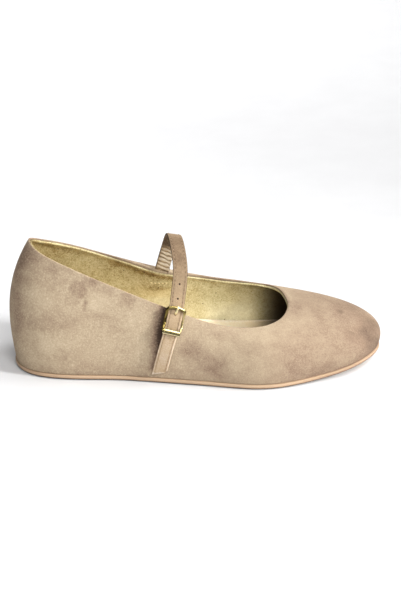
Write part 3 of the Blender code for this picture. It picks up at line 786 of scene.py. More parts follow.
def make_suede(wall):
    """The suede: outside, rolled collar edge and the hidden face inside, as one closed shell."""
    outside = wall.points - wall.normals * relief(wall.points)[..., None]
    foot = outside[:, 0]
    tuck = np.column_stack([outward(foot[:, :2]) * FOOT_TUCK, np.full(len(foot), GAP - FOOT_CLEAR)])
    rings = [foot - tuck] + [outside[:, j] for j in range(UP_WALL + 1)]
    edge, normal = outside[:, -1], wall.normals[:, -1]
    # round the strap's end the rolled edge widens and closes over it
    half = (SUEDE_THICK + pocket(edge)) / 2
    rounding = np.minimum(half, SUEDE_THICK / 2)
    for angle in np.radians((30, 60, 90, 120, 150, 180)):
        inward = half * (1 - math.cos(angle))
        over = wall.rim_up * (rounding * math.sin(angle))[:, None]
        rings.append(edge - normal * inward[:, None] + over)
    hidden = wall.points - wall.normals * (SUEDE_THICK + pocket(wall.points))[..., None]
    rings += [hidden[:, j] for j in range(UP_WALL - 3, -1, -6)]
    rings = np.array(rings)
    # the turned edge: painted shade on the medial side, a little less over the strap's end, slightly darker
    # on the lateral side
    turned = np.zeros(rings.shape[:2])
    medial_tone = MEDIAL_EDGE_SHADE + POCKET_EDGE_TONE * pocket(edge)
    turned[UP_WALL + 1:] = np.where(edge[:, 1] > 0, medial_tone, LATERAL_EDGE_TONE)
    tones = {"nap_and_shading": nap_and_shading_tone(rings, wall) + turned, "pebble": fade(rings[..., 0], *PEBBLE_SPAN)}
    piece = shell("upper_suede", rings, suede_material("taupe_suede", SUEDE_STOPS), tones)
    keep(piece, "taupe_suede", "upper")


# Painted shade and light on the lining: middle and spread along and up, tone, whether on the medial side
# only
Shade = namedtuple("Shade", "x spread_x z spread_z tone medial_only")
LINING_SHADES = (
    # painted shade under the strap's stitches, the strap's painted shadow under the lip, painted light
    # below
    Shade(96.5, 8, 43, 3, -0.22, True),
    Shade(80, 16, 51, 5, -0.08, True),
    Shade(100, 19, 31, 11, 0.17, True),
    # painted light low at the ball
    Shade(151, 18, 17, 10, 0.38, False),
)
# painted shade toward the heel, and a little darker in the middle: tone and span or place of each
HEEL_SHADE, HEEL_SHADE_SPAN, MIDDLE_DULL, MIDDLE_DULL_PLACE = -0.1, (75, -60), -0.06, (95, 40)
# the lip a little darker all round, with painted light toward the toe end where the rim shades it
LIP_TONE, LIP_TOE_LIGHT, LIP_TONE_SPAN = -0.06, 0.1, (165, 20)
# Painted shade under the lip: how far under it and the spread there, tone all round, and more in one
# medial place where the strap's painted shadow falls
LIP_SHADE_UNDER, LIP_SHADE_SPREAD, LIP_SHADE_TONE, LINING_STRAP_SHADOW, LINING_STRAP_SHADOW_PLACE = 2.6, 2.4, -0.06, -0.2, (90, 22)
# painted shade into the toe box: how dark, where it starts and how far it runs
TOE_BOX_SHADE_DEPTH, TOE_BOX_SHADE_SPAN = 0.95, (160, 25)


def painted_toe_box_shade(x):
    """How much painted shade lining and sock take on the way into the toe box."""
    return TOE_BOX_SHADE_DEPTH * fade(x, *TOE_BOX_SHADE_SPAN)


def lining_shade(points):
    """Tone of the lining: its painted shade and light, painted shade at the heel, a little darker in the
    middle.
    """
    x, y, z = points.T
    tone = HEEL_SHADE * fade(x, *HEEL_SHADE_SPAN) + MIDDLE_DULL * bell(x, *MIDDLE_DULL_PLACE)
    for row in LINING_SHADES:
        spot = bell(x, row.x, row.spread_x) * bell(z, row.z, row.spread_z)
        tone += row.tone * spot * ((y > 0) | (not row.medial_only))
    return tone


def make_lining(wall):
    """The gold lining: a beaded top edge just under the collar and a face down to the insole."""
    edge = wall.points[:, -1]
    floor_drop = wall.drop_to(LINING_FACE, lambda x: insole_top(x) - LINING_TUCK)
    lip_top = LIP_DROP + LIP_SAG * pocket(edge)
    radius = LIP_RADIUS + LIP_HEEL_SWELL * fade(edge[:, 0], *LIP_SWELL_SPAN)
    lip_bottom = lip_top + radius
    bead_out = LINING_BACK + 2 * radius - LINING_FACE
    reach = wall.rim_up * lip_reach(edge[:, 0])[:, None]
    untoned = np.zeros(len(edge))
    rings, shade, toe_box_shade = [], [], []
    for angle in np.radians((180, 150, 120, 90, 60, 30, 0)):
        points, normals = wall.down(lip_top + radius * (1 - math.sin(angle)))
        depth = LINING_BACK + radius * (1 + math.cos(angle))
        rings.append(points + reach - normals * (depth + pocket(points))[:, None])
        shade.append(lining_shade(points) + LIP_TONE + LIP_TOE_LIGHT * fade(points[:, 0], *LIP_TONE_SPAN))
        toe_box_shade.append(untoned)
    for f in np.linspace(0.0, 1.0, LINING_ROWS)[1:]:
        drop = lip_bottom + (floor_drop - lip_bottom) * f
        points, normals = wall.down(drop)
        bead = bead_out * bell(drop, lip_bottom, BEAD_SPREAD)
        drawn = reach * bell(drop, lip_bottom, DRAWN_SPREAD)[:, None]
        rings.append(points + drawn - normals * (LINING_FACE + bead + pocket(points))[:, None])
        # painted shade under the lip, deeper on the medial side where the strap's shadow falls
        lining_strap_shadow = LINING_STRAP_SHADOW * bell(points[:, 0], *LINING_STRAP_SHADOW_PLACE) * (points[:, 1] > 0)
        under_lip_shade = LIP_SHADE_TONE + lining_strap_shadow
        shade.append(lining_shade(points) + under_lip_shade * bell(drop, lip_bottom + LIP_SHADE_UNDER, LIP_SHADE_SPREAD))
        toe_box_shade.append(painted_toe_box_shade(points[:, 0]))
    for f in np.linspace(0.98, 0.0, LINING_BACK_ROWS):
        points, normals = wall.down(lip_bottom + (floor_drop - lip_bottom) * f)
        rings.append(points - normals * (LINING_BACK + pocket(points))[:, None])
        shade.append(untoned)
        toe_box_shade.append(untoned)
    gold = gold_leather_material("gold_lining", LINING_STOPS, metallic=0.3, roughness=0.42)
    tones = {"shade": np.array(shade), "toe_box_shade": np.array(toe_box_shade)}
    piece = shell("upper_lining", np.array(rings), gold, tones)
    keep(piece, "gold_sock", "upper")


# The row of stitches that holds the strap's end: start, end and pitch along the lining, height, one stitch
POCKET_ROW, POCKET_ROW_Z = (94.0, 105.0, 2.5), 47.8
POCKET_STITCH, POCKET_THREAD_RADIUS = (1.7, 0.0, -0.35), 0.42


def make_pocket_stitches(wall):
    """The row of stitches in the lining that holds the strap's end."""
    places = [wall.place(MEDIAL, x, POCKET_ROW_Z) for x in np.arange(*POCKET_ROW)]
    points, normals = (np.array(column) for column in zip(*places))
    face = points - normals * (LINING_FACE + pocket(points))[:, None]
    ends = face + np.array(POCKET_STITCH)
    piece = stitches("lining_stitches", face, ends, -normals, POCKET_THREAD_RADIUS, LINING_THREAD)
    keep(piece, "gold_sock")


# Sole and insole

# The sole's edge is duller toward toe and heel, and its dark rows, painted contact shadow, stand out less
# at the toe
SOLE_TOE_SPAN, SOLE_HEEL_SPAN = (180, 50), (55, -45)
SOLE_TOE_DULL, SOLE_TREAD_SHARE, SOLE_HEEL_DULL = 0.2, 0.6, 0.1
# painted light on the sock where it shows past the collar: amount, middle and spread along
SOCK_PAINTED_LIGHT, SOCK_PAINTED_LIGHT_PLACE = 0.28, (145, 18)


def make_outsole():
    foot = ribs_around()[:, 0:2]
    normal = outward(foot)
    # rows from the tread up: distance out from the upper's foot, height, tone; the dark low rows are
    # painted contact shadow on the floor, the darker top rows painted shade under the suede
    profile = (
        (-2.6, 0.0, -0.1),
        (-1.0, 0.02, -0.4),
        (-0.3, 0.3, -0.5),
        (0.2, 0.7, -0.5),
        (0.5, 1.1, -0.45),
        (SOLE_MARGIN, 1.5, -0.1),
        (SOLE_MARGIN, 2.6, 0.15),
        (0.6, 3.1, 0.08),
        (0.3, 3.45, -0.05),
        (-0.3, SOLE_THICK, -0.1),
        (-1.5, SOLE_THICK, -0.2),
    )
    rings, tones = [], []
    for out, height, tone in profile:
        plan = foot + normal * out
        rings.append(np.column_stack([plan, sole_bottom(plan[:, 0]) + height]))
        toe, heel = fade(plan[:, 0], *SOLE_TOE_SPAN), fade(plan[:, 0], *SOLE_HEEL_SPAN)
        toe_change = SOLE_TOE_DULL + SOLE_TREAD_SHARE * min(tone, 0.0)
        tones.append(tone - toe * toe_change - SOLE_HEEL_DULL * heel)
    piece = lofted("outsole_finished", rings, sole_material())
    shade = np.zeros(len(piece.data.vertices))
    shade[:len(profile) * len(foot)] = np.ravel(tones)
    set_tone(piece, "shade", shade)
    keep(piece, "tan_sole", "outsole")


def make_insole(wall):
    """The sock over the wedge, with a rounded top edge."""
    # rows from the bottom up: share of the height, height under the top, extra depth
    profile = ((0.0, 0.0, 0.2), (0.5, 0.0, 0.1), (1.0, 0.5, 0.0), (1.0, 0.2, 0.05), (1.0, 0.0, 0.3))
    rings = []
    for share, under, inset in profile:
        def level(x, share=share, under=under):
            bottom = sole_top(x) + GAP
            return bottom + share * (insole_top(x) - under - bottom)
        points, normals = wall.down(wall.drop_to(INSOLE_DEPTH, level))
        ring = points - normals * (INSOLE_DEPTH + inset)
        rings.append(np.column_stack([ring[:, :2], level(ring[:, 0])]))
    sock = gold_leather_material("gold_sock", SOCK_STOPS, metallic=0.15, roughness=0.5)
    piece = lofted("insole_sock", rings, sock, BED_CUP)
    places = np.array([vertex.co[0] for vertex in piece.data.vertices]) / MM - FRAME_SHIFT[0]
    # painted light where the sock shows past the collar, and painted shade into the toe box
    set_tone(piece, "shade", SOCK_PAINTED_LIGHT * bell(places, *SOCK_PAINTED_LIGHT_PLACE))
    set_tone(piece, "toe_box_shade", painted_toe_box_shade(places))
    keep(piece, "gold_sock", "insole_wedge")


# Strap

STITCH_PITCH, STITCH_LENGTH, STITCH_INSET, THREAD_RADIUS = 2.9, 1.9, 1.5, 0.19
FIRST_STITCH = 20.0
# The strap's lining is gathered over elastic from the collar up: where it starts and ends, pitch, height
GATHER_START_SPAN, GATHER_END_SPAN, GATHER_PITCH, GATHER_HEIGHT = (12.5, 3), (36, -7), 2.9, 0.7
# slant of the gathers, rounding of their ridges, and painted shade on their heel side: spread and depth
GATHER_SLANT, RIDGE_ROUNDING, HEEL_SIDE_SPREAD, HEEL_SIDE_SHADE = 0.18, 0.6, 1.6, 0.5
# Section of the strap: points across its face, rounding of its edges, crown, stitch groove
FACE_POINTS, EDGE_ROUNDING, CROWN = 27, 0.42, 0.1
GROOVE_DEPTH, GROOVE_SPREAD = 0.14, 0.3
# End of the tail: rounded corners (start and run in shares of the width, cut), steps to the tip, its tone
TOE_CORNER, HEEL_CORNER = (0.22, 0.28, 2.2), (0.42, 0.08, 0.35)
TIP_STEPS, TIP_FLATTENED, TIP_ROWS, TIP_TONE = (0.3, 0.6, 0.85, 0.96, 1.0), 0.5, 3, 0.2
TAIL_ROW_INSET, TAIL_ROW_GAP = 1.5, 0.12
# Kinds of faces on the strap, which are the places of their materials
FACE, EDGE, BACK, HOLE = range(4)
NEAR_SPAN, LOW_SPAN, TAIL_SPAN = (85, 20), (108, 10), (120, 10)
# stitch seams: spread, tone on the far and near parts; painted shade on the far part's cut edge
SEAM_SPREAD, FAR_SEAM_TONE, NEAR_SEAM_TONE, FAR_EDGE_SHADE = 0.4, -0.12, -0.22, -0.5
# rubbed pale edges of the face: span and tone, paler still down the tail, more on the toe side as painted
# light
RUBBED_SPAN, RUBBED_TONE, TAIL_TOE_RUB_AND_LIGHT, TAIL_HEEL_EDGE = (1, -0.5), 0.05, 0.25, 0.1
# Tone of the face at the strap's far end, and its changes from there: painted shade onto the arch, where
# the top lamp lights it most, and off it, round to the lateral side, into the buckle, down the tail
FAR_TONE = -0.13
Change = namedtuple("Change", "start run tone")
TONE_CHANGES = (
    Change(50, 20, -0.22),
    Change(75, 20, 0.22),
    Change(85, 20, 0.13),
    Change(99, 9, -0.07),
    Change(116, 28, 0.14),
)


class Strap:
    """The strap's middle line and its directions along, across and off the foot."""

    def __init__(self, wall):
        route = np.array([self.route_place(row, wall) for row in STRAP_ROUTE])
        knots = chord_knots(route[:, :3])
        line = spline(knots, route, np.linspace(0.0, knots[-1], ALONG_STRAP))
        self.points, width = line[:, :3], line[:, 3:]
        self.along = unit(np.gradient(self.points, axis=0))
        self.across = unit(width - self.along * (self.along * width).sum(axis=1)[:, None])
        self.off = np.cross(self.along, self.across)
        self.length = chord_knots(self.points)
        off_bar = np.linalg.norm(self.points - buckle_axes(wall)[0], axis=1)
        self.bar_at = self.length[np.argmin(off_bar)]

    @staticmethod
    def route_place(row, wall):
        if isinstance(row, BuckleRow):
            origin, *axes = buckle_axes(wall)
            return (*(origin + np.array(row) @ axes), *axes[0])
        level = np.array([1.0, 0.0, -row.lean])
        if isinstance(row, FreeRow):
            return (*row[:3], *level)
        place, normal = wall.place(row.side, row.x, row.z)
        return (*(place + normal * row.stand_off), *(level - normal * (level @ normal)))

    def at(self, lengths):
        """Middle line and directions at lengths along the strap."""
        read = [np.column_stack([np.interp(lengths, self.length, v[:, k]) for k in range(3)])
                for v in (self.points, self.along, self.across, self.off)]
        return read[0], unit(read[1]), unit(read[2]), unit(read[3])


def buckle_axes(wall):
    """The buckle's origin on its middle bar; its axes to the toe, up the strap and off the foot."""
    place, n = wall.place(LATERAL, BUCKLE_X, BUCKLE_Z)
    n = unit(n * [BUCKLE_TOE_TURN, 1.0, 1.0])
    lean = np.array([BUCKLE_LEAN, 0.0, 1.0])
    u = unit(lean - n * (lean @ n))
    return place + n * BUCKLE_STAND_OFF, np.cross(u, n), u, n


def gathers(length, across):
    """How far the lining behind the strap stands out, and its tone from valley 0 to ridge 1, painted shade
    in the valleys.
    """
    inside = fade(length, *GATHER_START_SPAN) * fade(length, *GATHER_END_SPAN)
    uneven = 0.25 * np.sin(length * 0.8 + across) + 0.12 * np.sin(1.7 * across + length)
    slanting = length + GATHER_SLANT * across + uneven
    ridge = np.abs(np.sin(math.pi * slanting / GATHER_PITCH)) ** RIDGE_ROUNDING
    heel_side = bell(across, -STRAP_WIDTH / 2, HEEL_SIDE_SPREAD)
    return inside * GATHER_HEIGHT * ridge, inside * ridge * (1.0 - HEEL_SIDE_SHADE * heel_side)


def strap_profile():
    """The strap's section: places across and off the foot, and the kinds of face."""
    half, thick = STRAP_WIDTH / 2, STRAP_THICK / 2
    flat = half - EDGE_ROUNDING
    face_w = np.linspace(-1, 1, FACE_POINTS) * flat
    groove = GROOVE_DEPTH * bell(np.abs(face_w), half - STITCH_INSET, GROOVE_SPREAD)
    crown = CROWN * (1 - (face_w / half) ** 2)
    face = [(w, thick + up, FACE) for w, up in zip(face_w, crown - groove)]
    turn = np.radians(np.linspace(60, -60, 5))
    edge = [(flat + EDGE_ROUNDING * math.cos(a), thick * math.sin(a), EDGE) for a in turn]
    back = [(-w, -thick, BACK) for w in face_w]
    return np.array(face + edge + back + [(-w, -n, EDGE) for w, n, _ in edge]).T


def strap_tone(length, across, kind):
    """Tone of the strap: stitch holes inside rubbed edges, painted shade on the arch and on the far part's
    cut edge, and painted light on the tail's toe-side edge.
    """
    near, low, tail = (fade(length, *span) for span in (NEAR_SPAN, LOW_SPAN, TAIL_SPAN))
    off_edge = STRAP_WIDTH / 2 - np.abs(across)
    pierced = 0.35 + 0.65 * np.cos(math.pi * (length - FIRST_STITCH) / STITCH_PITCH) ** 4
    seam = (FAR_SEAM_TONE + NEAR_SEAM_TONE * near) * bell(off_edge, STITCH_INSET, SEAM_SPREAD) * pierced
    pale = RUBBED_TONE + np.where(across > 0, TAIL_TOE_RUB_AND_LIGHT, TAIL_HEEL_EDGE) * tail
    body = FAR_TONE + sum(row.tone * fade(length, row.start, row.run) for row in TONE_CHANGES)
    face = body + pale * fade(off_edge, *RUBBED_SPAN) + seam
    return np.where(kind == EDGE, FAR_EDGE_SHADE * (1.0 - low), np.where(kind == FACE, face, 0.0))


def tail_reach(across):
    """How far the tail runs past the route's end: cut on a slant, its toe-side corner rounded."""
    share = across / STRAP_WIDTH
    reach = TAIL_REACH - TAIL_SLANT * share
    for out, (start, run, cut) in ((share, TOE_CORNER), (-share, HEEL_CORNER)):
        reach = reach - cut * np.clip((out - start) / run, 0, 1) ** 2
    return reach


def make_strap(strap):
    """The strap: suede face, pale edges and gathered lining, cut on a slant and punched."""
    w, n, kind = strap_profile()
    points, along, across, off = strap.at(strap.length)
    height, fold = (rows * (kind == BACK) for rows in gathers(strap.length[:, None], w))
    tone = strap_tone(strap.length[:, None], w, kind)
    rings = points[:, None] + across[:, None] * w[:, None] + off[:, None] * (n - height)[..., None]
    tips = [rings[-1] + along[-1] * (tail_reach(w) * f)[:, None] for f in TIP_STEPS]
    tips[-1] = tips[-1] - TIP_FLATTENED * n[:, None] * off[-1]
    rings = np.vstack([rings, np.array(tips)])
    fold, tone = (np.vstack([rows, np.repeat(rows[-1:], len(tips), axis=0)]) for rows in (fold, tone))
    tone[-TIP_ROWS:] += TIP_TONE * (kind == FACE)
    either_edge = (kind == EDGE) | (np.roll(kind, -1) == EDGE)
    kinds = np.tile(np.where(either_edge, EDGE, kind).astype(int), len(rings) - 1)
    materials = [
        suede_material("strap_suede", STRAP_STOPS),
        suede_material("strap_edge", EDGE_STOPS),
        gathered_material(),
        smooth_leather_material("punched_hole_shade", HOLE_SHADE_STOPS, roughness=0.9),
    ]
    tones, kinds = {"fold": fold, "nap_and_shading": tone}, [*kinds, EDGE, EDGE]
    faces = tube_faces(len(rings), len(w))
    piece = new_object("strap_finished", metres(rings.reshape(-1, 3)), faces, materials, tones, kinds)
    punch(piece, strap, PRONG_HOLE_UP, PRONG_HOLE_RADIUS, 0.0)
    for up in SPARE_HOLES_UP:
        punch(piece, strap, up, SPARE_HOLE_RADIUS, PUNCH_LENGTH / 2 - STRAP_THICK / 2 + PUNCH_FLOOR)
    keep(piece, "strap_suede", "strap")


def punch(piece, strap, up, radius, lift):
    """Punches a hole this far up from the middle bar. A lifted punch stops at the lining."""
    place, _, _, off = strap.at(np.array([strap.bar_at - up]))
    bpy.ops.mesh.primitive_cylinder_add(vertices=24, radius=radius * MM, depth=PUNCH_LENGTH * MM)
    pin = bpy.context.object
    pin.location = metres(place[0] + off[0] * lift)
    pin.rotation_mode = "QUATERNION"
    pin.rotation_quaternion = Vector(off[0]).to_track_quat("Z", "Y")
    pin.data.polygons.foreach_set("material_index", [HOLE] * len(pin.data.polygons))
    apply_boolean(piece, pin, "DIFFERENCE")


def evaluated_mesh(obj):
    graph = bpy.context.evaluated_depsgraph_get()
    return bpy.data.meshes.new_from_object(obj.evaluated_get(graph))


def apply_boolean(obj, other, operation):
    """Cuts or joins other into obj's mesh for good, and removes it."""
    modifier = obj.modifiers.new("cut", "BOOLEAN")
    modifier.operation = operation
    modifier.object = other
    mesh = evaluated_mesh(obj)
    obj.modifiers.clear()
    obj.data = mesh
    bpy.data.objects.remove(other)


# A stitch: its thickness along it and the sides of its thread, how far it arches and sinks (in radii)
STITCH_SWELL, THREAD_SIDES = (0.35, 0.9, 1.0, 0.9, 0.35), 6
STITCH_ARCH, STITCH_SINK, THREAD_SHADE = 1.6, 0.5, 0.85


def stitches(name, starts, ends, normals, radius, colour):
    """Short thread stitches from start to end points, a little arched off the surface."""
    side = np.cross(normals, unit(ends - starts))
    share = np.linspace(0.0, 1.0, len(STITCH_SWELL))
    angle = np.linspace(0, 2 * math.pi, THREAD_SIDES, endpoint=False)
    one = tube_faces(len(STITCH_SWELL), THREAD_SIDES)
    verts, faces = [], []
    for a, b, n, s in zip(starts, ends, normals, side):
        faces += [tuple(len(verts) + i for i in face) for face in one]
        for f, r in zip(share, STITCH_SWELL):
            arch = STITCH_ARCH * math.sin(math.pi * f) - STITCH_SINK
            centre = a + (b - a) * f + n * radius * arch
            verts += [centre + (n * math.sin(q) + s * math.cos(q)) * radius * r for q in angle]
    stops = ((0.2, tuple(THREAD_SHADE * c for c in colour)), (0.8, colour))
    thread = smooth_leather_material(name, stops, roughness=0.8)
    return new_object(name, metres(verts), faces, [thread])


def make_strap_stitches(strap):
    """Stitch lines along both edges of the strap's face and across its tail."""
    first = FIRST_STITCH + (STITCH_PITCH - STITCH_LENGTH) / 2
    lengths = np.arange(first, strap.length[-1] - 1.0, STITCH_PITCH)
    offset = STRAP_WIDTH / 2 - STITCH_INSET
    starts, ends, normals = [], [], []
    for sign in (-1, 1):
        for reach, store in ((0.0, starts), (STITCH_LENGTH, ends)):
            points, _, across, off = strap.at(lengths + reach)
            store.append(points + across * sign * offset + off * (STRAP_THICK / 2))
        normals.append(off)
    points, along, across, off = strap.at(strap.length[-1:])
    places = np.linspace(-offset, offset, 5)[:, None]
    row = points + across * places + along * (tail_reach(places) - TAIL_ROW_INSET) + off * STRAP_THICK / 2
    step = row[1:] - row[:-1]
    starts.append(row[:-1] + step * TAIL_ROW_GAP)
    ends.append(row[1:] - step * TAIL_ROW_GAP)
    normals.append(np.repeat(off, len(step), axis=0))
    lines = [np.vstack(rows) for rows in (starts, ends, normals)]
    piece = stitches("strap_stitches", *lines, THREAD_RADIUS, STRAP_THREAD)
    keep(piece, "strap_suede")


# Buckle

def corner_arc(centre_w, centre_u, radius, start, end, steps=10):
    for k in range(steps + 1):
        angle = math.radians(start + (end - start) * k / steps)
        yield centre_w + radius * math.cos(angle), centre_u + radius * math.sin(angle)


def frame_line():
    """The buckle frame's wire: a rounded rectangle whose ends rise quickly off the foot."""
    top_w, top_u = FRAME_HALF_WIDTH - TOP_CORNER, FRAME_HALF_HEIGHT - TOP_CORNER
    low_w, low_u = FRAME_HALF_WIDTH - LOW_CORNER, FRAME_HALF_HEIGHT - LOW_CORNER
    rail = np.linspace(0.55, -0.7, 14) * FRAME_HALF_HEIGHT
    plan = list(corner_arc(top_w, top_u, TOP_CORNER, 0, 90))
    plan += [(top_w * s, FRAME_HALF_HEIGHT + TOP_BOW * (1 - s**2)) for s in np.linspace(0.8, -0.8, 9)]
    plan += corner_arc(-top_w, top_u, TOP_CORNER, 90, 180)
    plan += [(-FRAME_HALF_WIDTH, u) for u in rail]
    plan += corner_arc(-low_w, -low_u, LOW_CORNER, 180, 270)
    plan += corner_arc(low_w, -low_u, LOW_CORNER, 270, 360)
    plan += [(FRAME_HALF_WIDTH, u) for u in rail[::-1]]
    steep = [min(abs(u) / FRAME_HALF_HEIGHT, 1.0) for _, u in plan]
    return [(w, u, FRAME_RISE * (1 - (1 - rise) ** 2)) for (w, u), rise in zip(plan, steep)]


def swept(name, path, half_across, half_off, roundness, flat=(0, 0, 1), cyclic=False):
    """A bar along a path in the buckle's frame. Its section has half sizes across the path and off the
    foot, and is squarer the lower its roundness; flat is a direction that the path never takes."""
    path = np.array(path)
    if cyclic:
        along = unit(np.roll(path, -1, axis=0) - np.roll(path, 1, axis=0))
    else:
        along = unit(np.gradient(path, axis=0))
    across = unit(np.cross(along, flat))
    off = np.cross(across, along)
    angle = np.linspace(0, 2 * math.pi, SECTION_SIDES, endpoint=False)
    rings = path[:, None]
    for axis, half, wave in ((across, half_across, np.cos(angle)), (off, half_off, np.sin(angle))):
        reach = np.broadcast_to(half, len(path))[:, None] * np.sign(wave) * np.abs(wave) ** roundness
        rings = rings + axis[:, None] * reach[..., None]
    grid = len(path), SECTION_SIDES
    faces = grid_faces(*grid, wrap_rows=True, wrap_columns=True) if cyclic else tube_faces(*grid)
    made = new_object(name, rings.reshape(-1, 3) * MM, faces, [])
    point_faces_out(made.data)
    return made


def point_faces_out(mesh):
    bm = bmesh.new()
    bm.from_mesh(mesh)
    bmesh.ops.remove_doubles(bm, verts=bm.verts, dist=0.00001)
    bmesh.ops.recalc_face_normals(bm, faces=bm.faces)
    bm.to_mesh(mesh)
    bm.free()


def fit(obj, wall, material, sharp_angle, slot, node):
    """Seats a mesh made in the buckle's own axes on the shoe and keeps it as a piece."""
    origin, w, u, n = buckle_axes(wall)
    turn = Matrix(np.column_stack([w, u, n]).tolist()).to_4x4()
    obj.data.transform(Matrix.Translation(metres(origin)) @ turn)
    obj.data.materials.clear()
    obj.data.materials.append(material)
    obj.data.shade_smooth()
    obj.data.set_sharp_from_angle(angle=math.radians(sharp_angle))
    keep(obj, slot, node)


# Painted shade and dark reflection on the frame: heel-side rail, toe-side rail, top bar, low bar
HEEL_RAIL_SHADE, TOE_RAIL_SHADE, TOP_BAR_SHADE, LOW_BAR_SHADE = 0.7, 0.25, 0.5, 0.4


def metal_light_and_shade(w, u):
    """Painted shade and dark reflection: most on the heel-side rail, then round the top bar and low bar."""
    rails = np.where(w < 0, HEEL_RAIL_SHADE, TOE_RAIL_SHADE) * fade(np.abs(w), 4.6, 0.6)
    rails = rails * fade(u, -FRAME_HALF_HEIGHT, 1.5)
    bow = FRAME_HALF_HEIGHT + TOP_BOW * (1 - (w / FRAME_HALF_WIDTH) ** 2)
    under_top = TOP_BAR_SHADE * fade(u, 5.0, 1.0) * fade(u, bow + 0.1, -0.5)
    top_heel_side = TOP_BAR_SHADE * fade(u, bow - 0.4, 0.4) * fade(w, 1.5, -3.0)
    low_bar = LOW_BAR_SHADE * bell(u, -FRAME_HALF_HEIGHT, 0.8)
    return np.maximum.reduce([rails, under_top, top_heel_side, low_bar])


def make_buckle_frame(wall):
    line = np.array(frame_line())
    up = line[:, 1] / FRAME_HALF_HEIGHT
    rail = np.where(line[:, 0] < 0, HEEL_RAIL, TOE_RAIL)
    half = rail + (TOP_RAIL - rail) * fade(up, 0.5, 0.5) + (LOW_RAIL - rail) * fade(up, -0.75, -0.25)
    frame = swept("buckle_frame_finished", line, half, half, 0.55, cyclic=True)
    # bars across the frame: place up and off the foot, half height, half thickness, roundness
    bars = (
        (0.0, 0.0, MIDDLE_BAR, MIDDLE_BAR, 1.0),
        (-FRAME_HALF_HEIGHT, FRAME_RISE, LOW_BAR_HALF_HEIGHT, BAR_THICK, 0.45),
    )
    for u, n, half_height, half_thick, roundness in bars:
        path = [(w, u, n) for w in np.linspace(-FRAME_HALF_WIDTH, FRAME_HALF_WIDTH, 5)]
        apply_boolean(frame, swept("bar", path, half_height, half_thick, roundness), "UNION")
    w, u, _ = np.array([vertex.co for vertex in frame.data.vertices]).T / MM
    set_tone(frame, "metal_light_and_shade", metal_light_and_shade(w, u))
    gold = gold_metal_material("gold_metal", roughness=0.22)
    fit(frame, wall, gold, METAL_SHARP, "gold_metal", "buckle_frame")


# The prong from the middle bar on: places along the strap and off the foot
PRONG_TONGUE = (
    (1.2, 1.2), (2.3, 1.15), (3.1, 1.4), (4.0, 2.25), (4.8, 3.3),
    (5.9, 4.1), (7.2, 4.4), (8.8, 4.4), (9.7, 4.1),
)
# the prong is painted lighter, as a highlight
PRONG_HIGHLIGHT = -0.25


def make_prong(wall):
    """The prong: round the middle bar, up through the strap and, leaning, on to the top bar."""
    ring = MIDDLE_BAR + PRONG_EYE_GAP + PRONG_HALF_THICK
    eye = [(ring * math.cos(a), ring * math.sin(a)) for a in np.radians(np.linspace(375, 90, 24))]
    path = np.array(eye + list(PRONG_TONGUE))
    knots = chord_knots(path)
    u, n = spline(knots, path, np.linspace(0.0, knots[-1], 90)).T
    line = np.column_stack([PRONG_LEAN * np.clip(u - PRONG_HOLE_UP, 0.0, None), u, n])
    prong = swept("buckle_prong_finished", line, PRONG_HALF_THICK, PRONG_HALF_WIDTH, 1.0, flat=(1, 0, 0))
    set_tone(prong, "metal_light_and_shade", np.full(len(prong.data.vertices), PRONG_HIGHLIGHT))
    gold = gold_metal_material("gold_prong", roughness=0.42)
    fit(prong, wall, gold, METAL_SHARP, "gold_prong", "buckle_prong")


def extruded(name, outlines, width):
    """Flat outlines in the (u, n) plane, filled and given a width across the strap."""
    curve = bpy.data.curves.new(name, "CURVE")
    curve.dimensions = "2D"
    curve.fill_mode = "BOTH"
    curve.extrude = width / 2 * MM
    for outline in outlines:
        line = curve.splines.new("POLY")
        line.points.add(len(outline) - 1)
        for point, (u, n) in zip(line.points, outline):
            point.co = (u * MM, n * MM, 0.0, 1.0)
        line.use_cyclic_u = True
    helper = placed(name + "_line", curve)
    mesh = evaluated_mesh(helper)
    bpy.data.objects.remove(helper)
    mesh.name = name
    point_faces_out(mesh)
    mesh.transform(Matrix(((0, 0, 1, 0), (1, 0, 0, 0), (0, 1, 0, 0), (0, 0, 0, 1))))
    return placed(name, mesh)


def make_tab(wall):
    """The tab: a suede loop round the middle bar, its flat end under the strap's tail."""
    outline = list(corner_arc(0.0, 0.0, TAB_OUTER, -90, 90))
    outline += [(-1.2, TAB_OUTER - 0.1), (-4.5, -0.5), (-TAB_LENGTH, -0.85), (-TAB_LENGTH, -TAB_OUTER)]
    hole = list(corner_arc(0.0, 0.0, TAB_INNER, 0, 350, 35))
    tab = extruded("buckle_tab_finished", [outline, hole], TAB_WIDTH)
    slot = extruded("slot", [[(-2.6, -0.6), (3.0, -2.5), (3.0, 2.5), (-2.6, 2.5)]], PRONG_SLOT)
    apply_boolean(tab, slot, "DIFFERENCE")
    suede = suede_material("tab_suede", STRAP_STOPS, with_nap=False)
    fit(tab, wall, suede, SUEDE_SHARP, "tab_suede", "buckle_tab")


# Stage

CAMERA_ELEVATION = 25.0
CAMERA_DISTANCE = 1.237
CAMERA_LENS, CAMERA_SENSOR = 110.0, 36.0
AIM = (128.4, 0.0, 44.0)

# Lamps: direction from the shoe, distance, size and aim in metres; one with a cone (in degrees) is hooded
Lamp = namedtuple("Lamp", "name toward distance size watts cone aim")
LAMPS = (
    Lamp("front", (0.22, -0.73, 0.63), 2.6, 1.4, 40, None, (0, 0, 0.03)),
    Lamp("top", (0.68, 0.15, 0.72), 2.4, 1.2, 30, None, (0, 0, 0.03)),
    Lamp("side", (0.83, -0.3, 0.52), 2.4, 0.65, 840, 11, (-0.1, 0, 0.04)),
    Lamp("backdrop", (-0.19, 0.62, 0.76), 2.1, 0.5, 92, 60, (-0.35, 1, 0)),
)
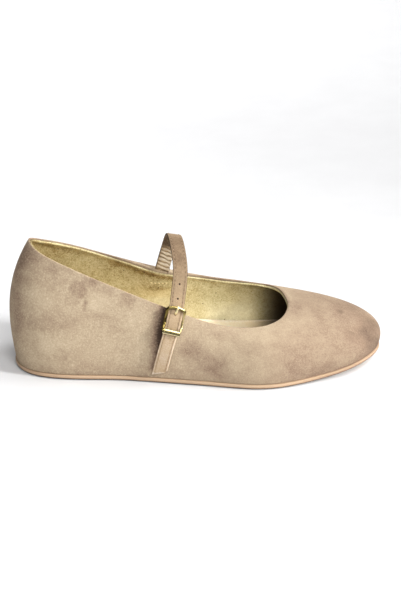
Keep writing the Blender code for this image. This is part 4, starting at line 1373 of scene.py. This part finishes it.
# The surroundings brighten toward one side: how much they face it, and the strength there
WORLD_BRIGHT_SIDE = (0.35, 0.35, 0.87)
WORLD_LEVELS = {"From Min": -0.4, "From Max": 1.0, "To Min": 0.05, "To Max": 0.5}
FLOOR_HALF = 4.0


def make_camera():
    data = bpy.data.cameras.new("camera")
    data.lens = CAMERA_LENS
    data.sensor_width = CAMERA_SENSOR
    camera = placed("camera", data)
    tilt = math.radians(CAMERA_ELEVATION)
    back = Vector((0.0, -math.cos(tilt), math.sin(tilt)))
    camera.location = Vector(metres(AIM)) + back * CAMERA_DISTANCE
    camera.rotation_euler = (math.radians(90) - tilt, 0.0, 0.0)
    bpy.context.scene.camera = camera


def make_light(lamp):
    """A soft lamp turned to its aim: a square area, or a round hooded one."""
    data = bpy.data.lights.new(lamp.name, "SPOT" if lamp.cone else "AREA")
    data.energy = lamp.watts
    if lamp.cone:
        data.spot_size = math.radians(lamp.cone)
        data.spot_blend = 1.0
        data.shadow_soft_size = lamp.size / 2
    else:
        data.size = lamp.size
    piece = placed(lamp.name, data)
    piece.location = lamp.distance * Vector(lamp.toward).normalized()
    piece.rotation_euler = (piece.location - Vector(lamp.aim)).to_track_quat("Z", "Y").to_euler()


def make_world():
    """Studio surroundings: pale overhead and to the right, dark toward the camera's side."""
    n = Nodes("studio", "worlds", "Background", "Generated")
    inputs = {0: n.place, 1: WORLD_BRIGHT_SIDE}
    toward = n.add("ShaderNodeVectorMath", inputs, operation="DOT_PRODUCT").outputs["Value"]
    level = n.add("ShaderNodeMapRange", {"Value": toward, **WORLD_LEVELS}).outputs["Result"]
    bpy.context.scene.world = n.finish(Color=(1.0, 1.0, 1.0, 1.0), Strength=level)


def make_stage():
    n = Nodes("pale_floor")
    paper = n.finish(Base_Color=n.ramp(n.noise(40.0, 2.0), PAPER_STOPS), Roughness=0.9)
    corners = [(x * FLOOR_HALF, y * FLOOR_HALF, 0.0) for x, y in ((-1, -1), (1, -1), (1, 1), (-1, 1))]
    new_object("floor", corners, [(0, 1, 2, 3)], [paper])
    make_world()
    for lamp in LAMPS:
        make_light(lamp)
    bpy.context.scene.view_settings.view_transform = "Standard"


def main():
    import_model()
    wall = Wall()
    strap = Strap(wall)
    make_suede(wall)
    make_lining(wall)
    make_outsole()
    make_insole(wall)
    make_pocket_stitches(wall)
    make_strap(strap)
    make_strap_stitches(strap)
    make_buckle_frame(wall)
    make_prong(wall)
    make_tab(wall)
    make_stage()
    make_camera()


main()
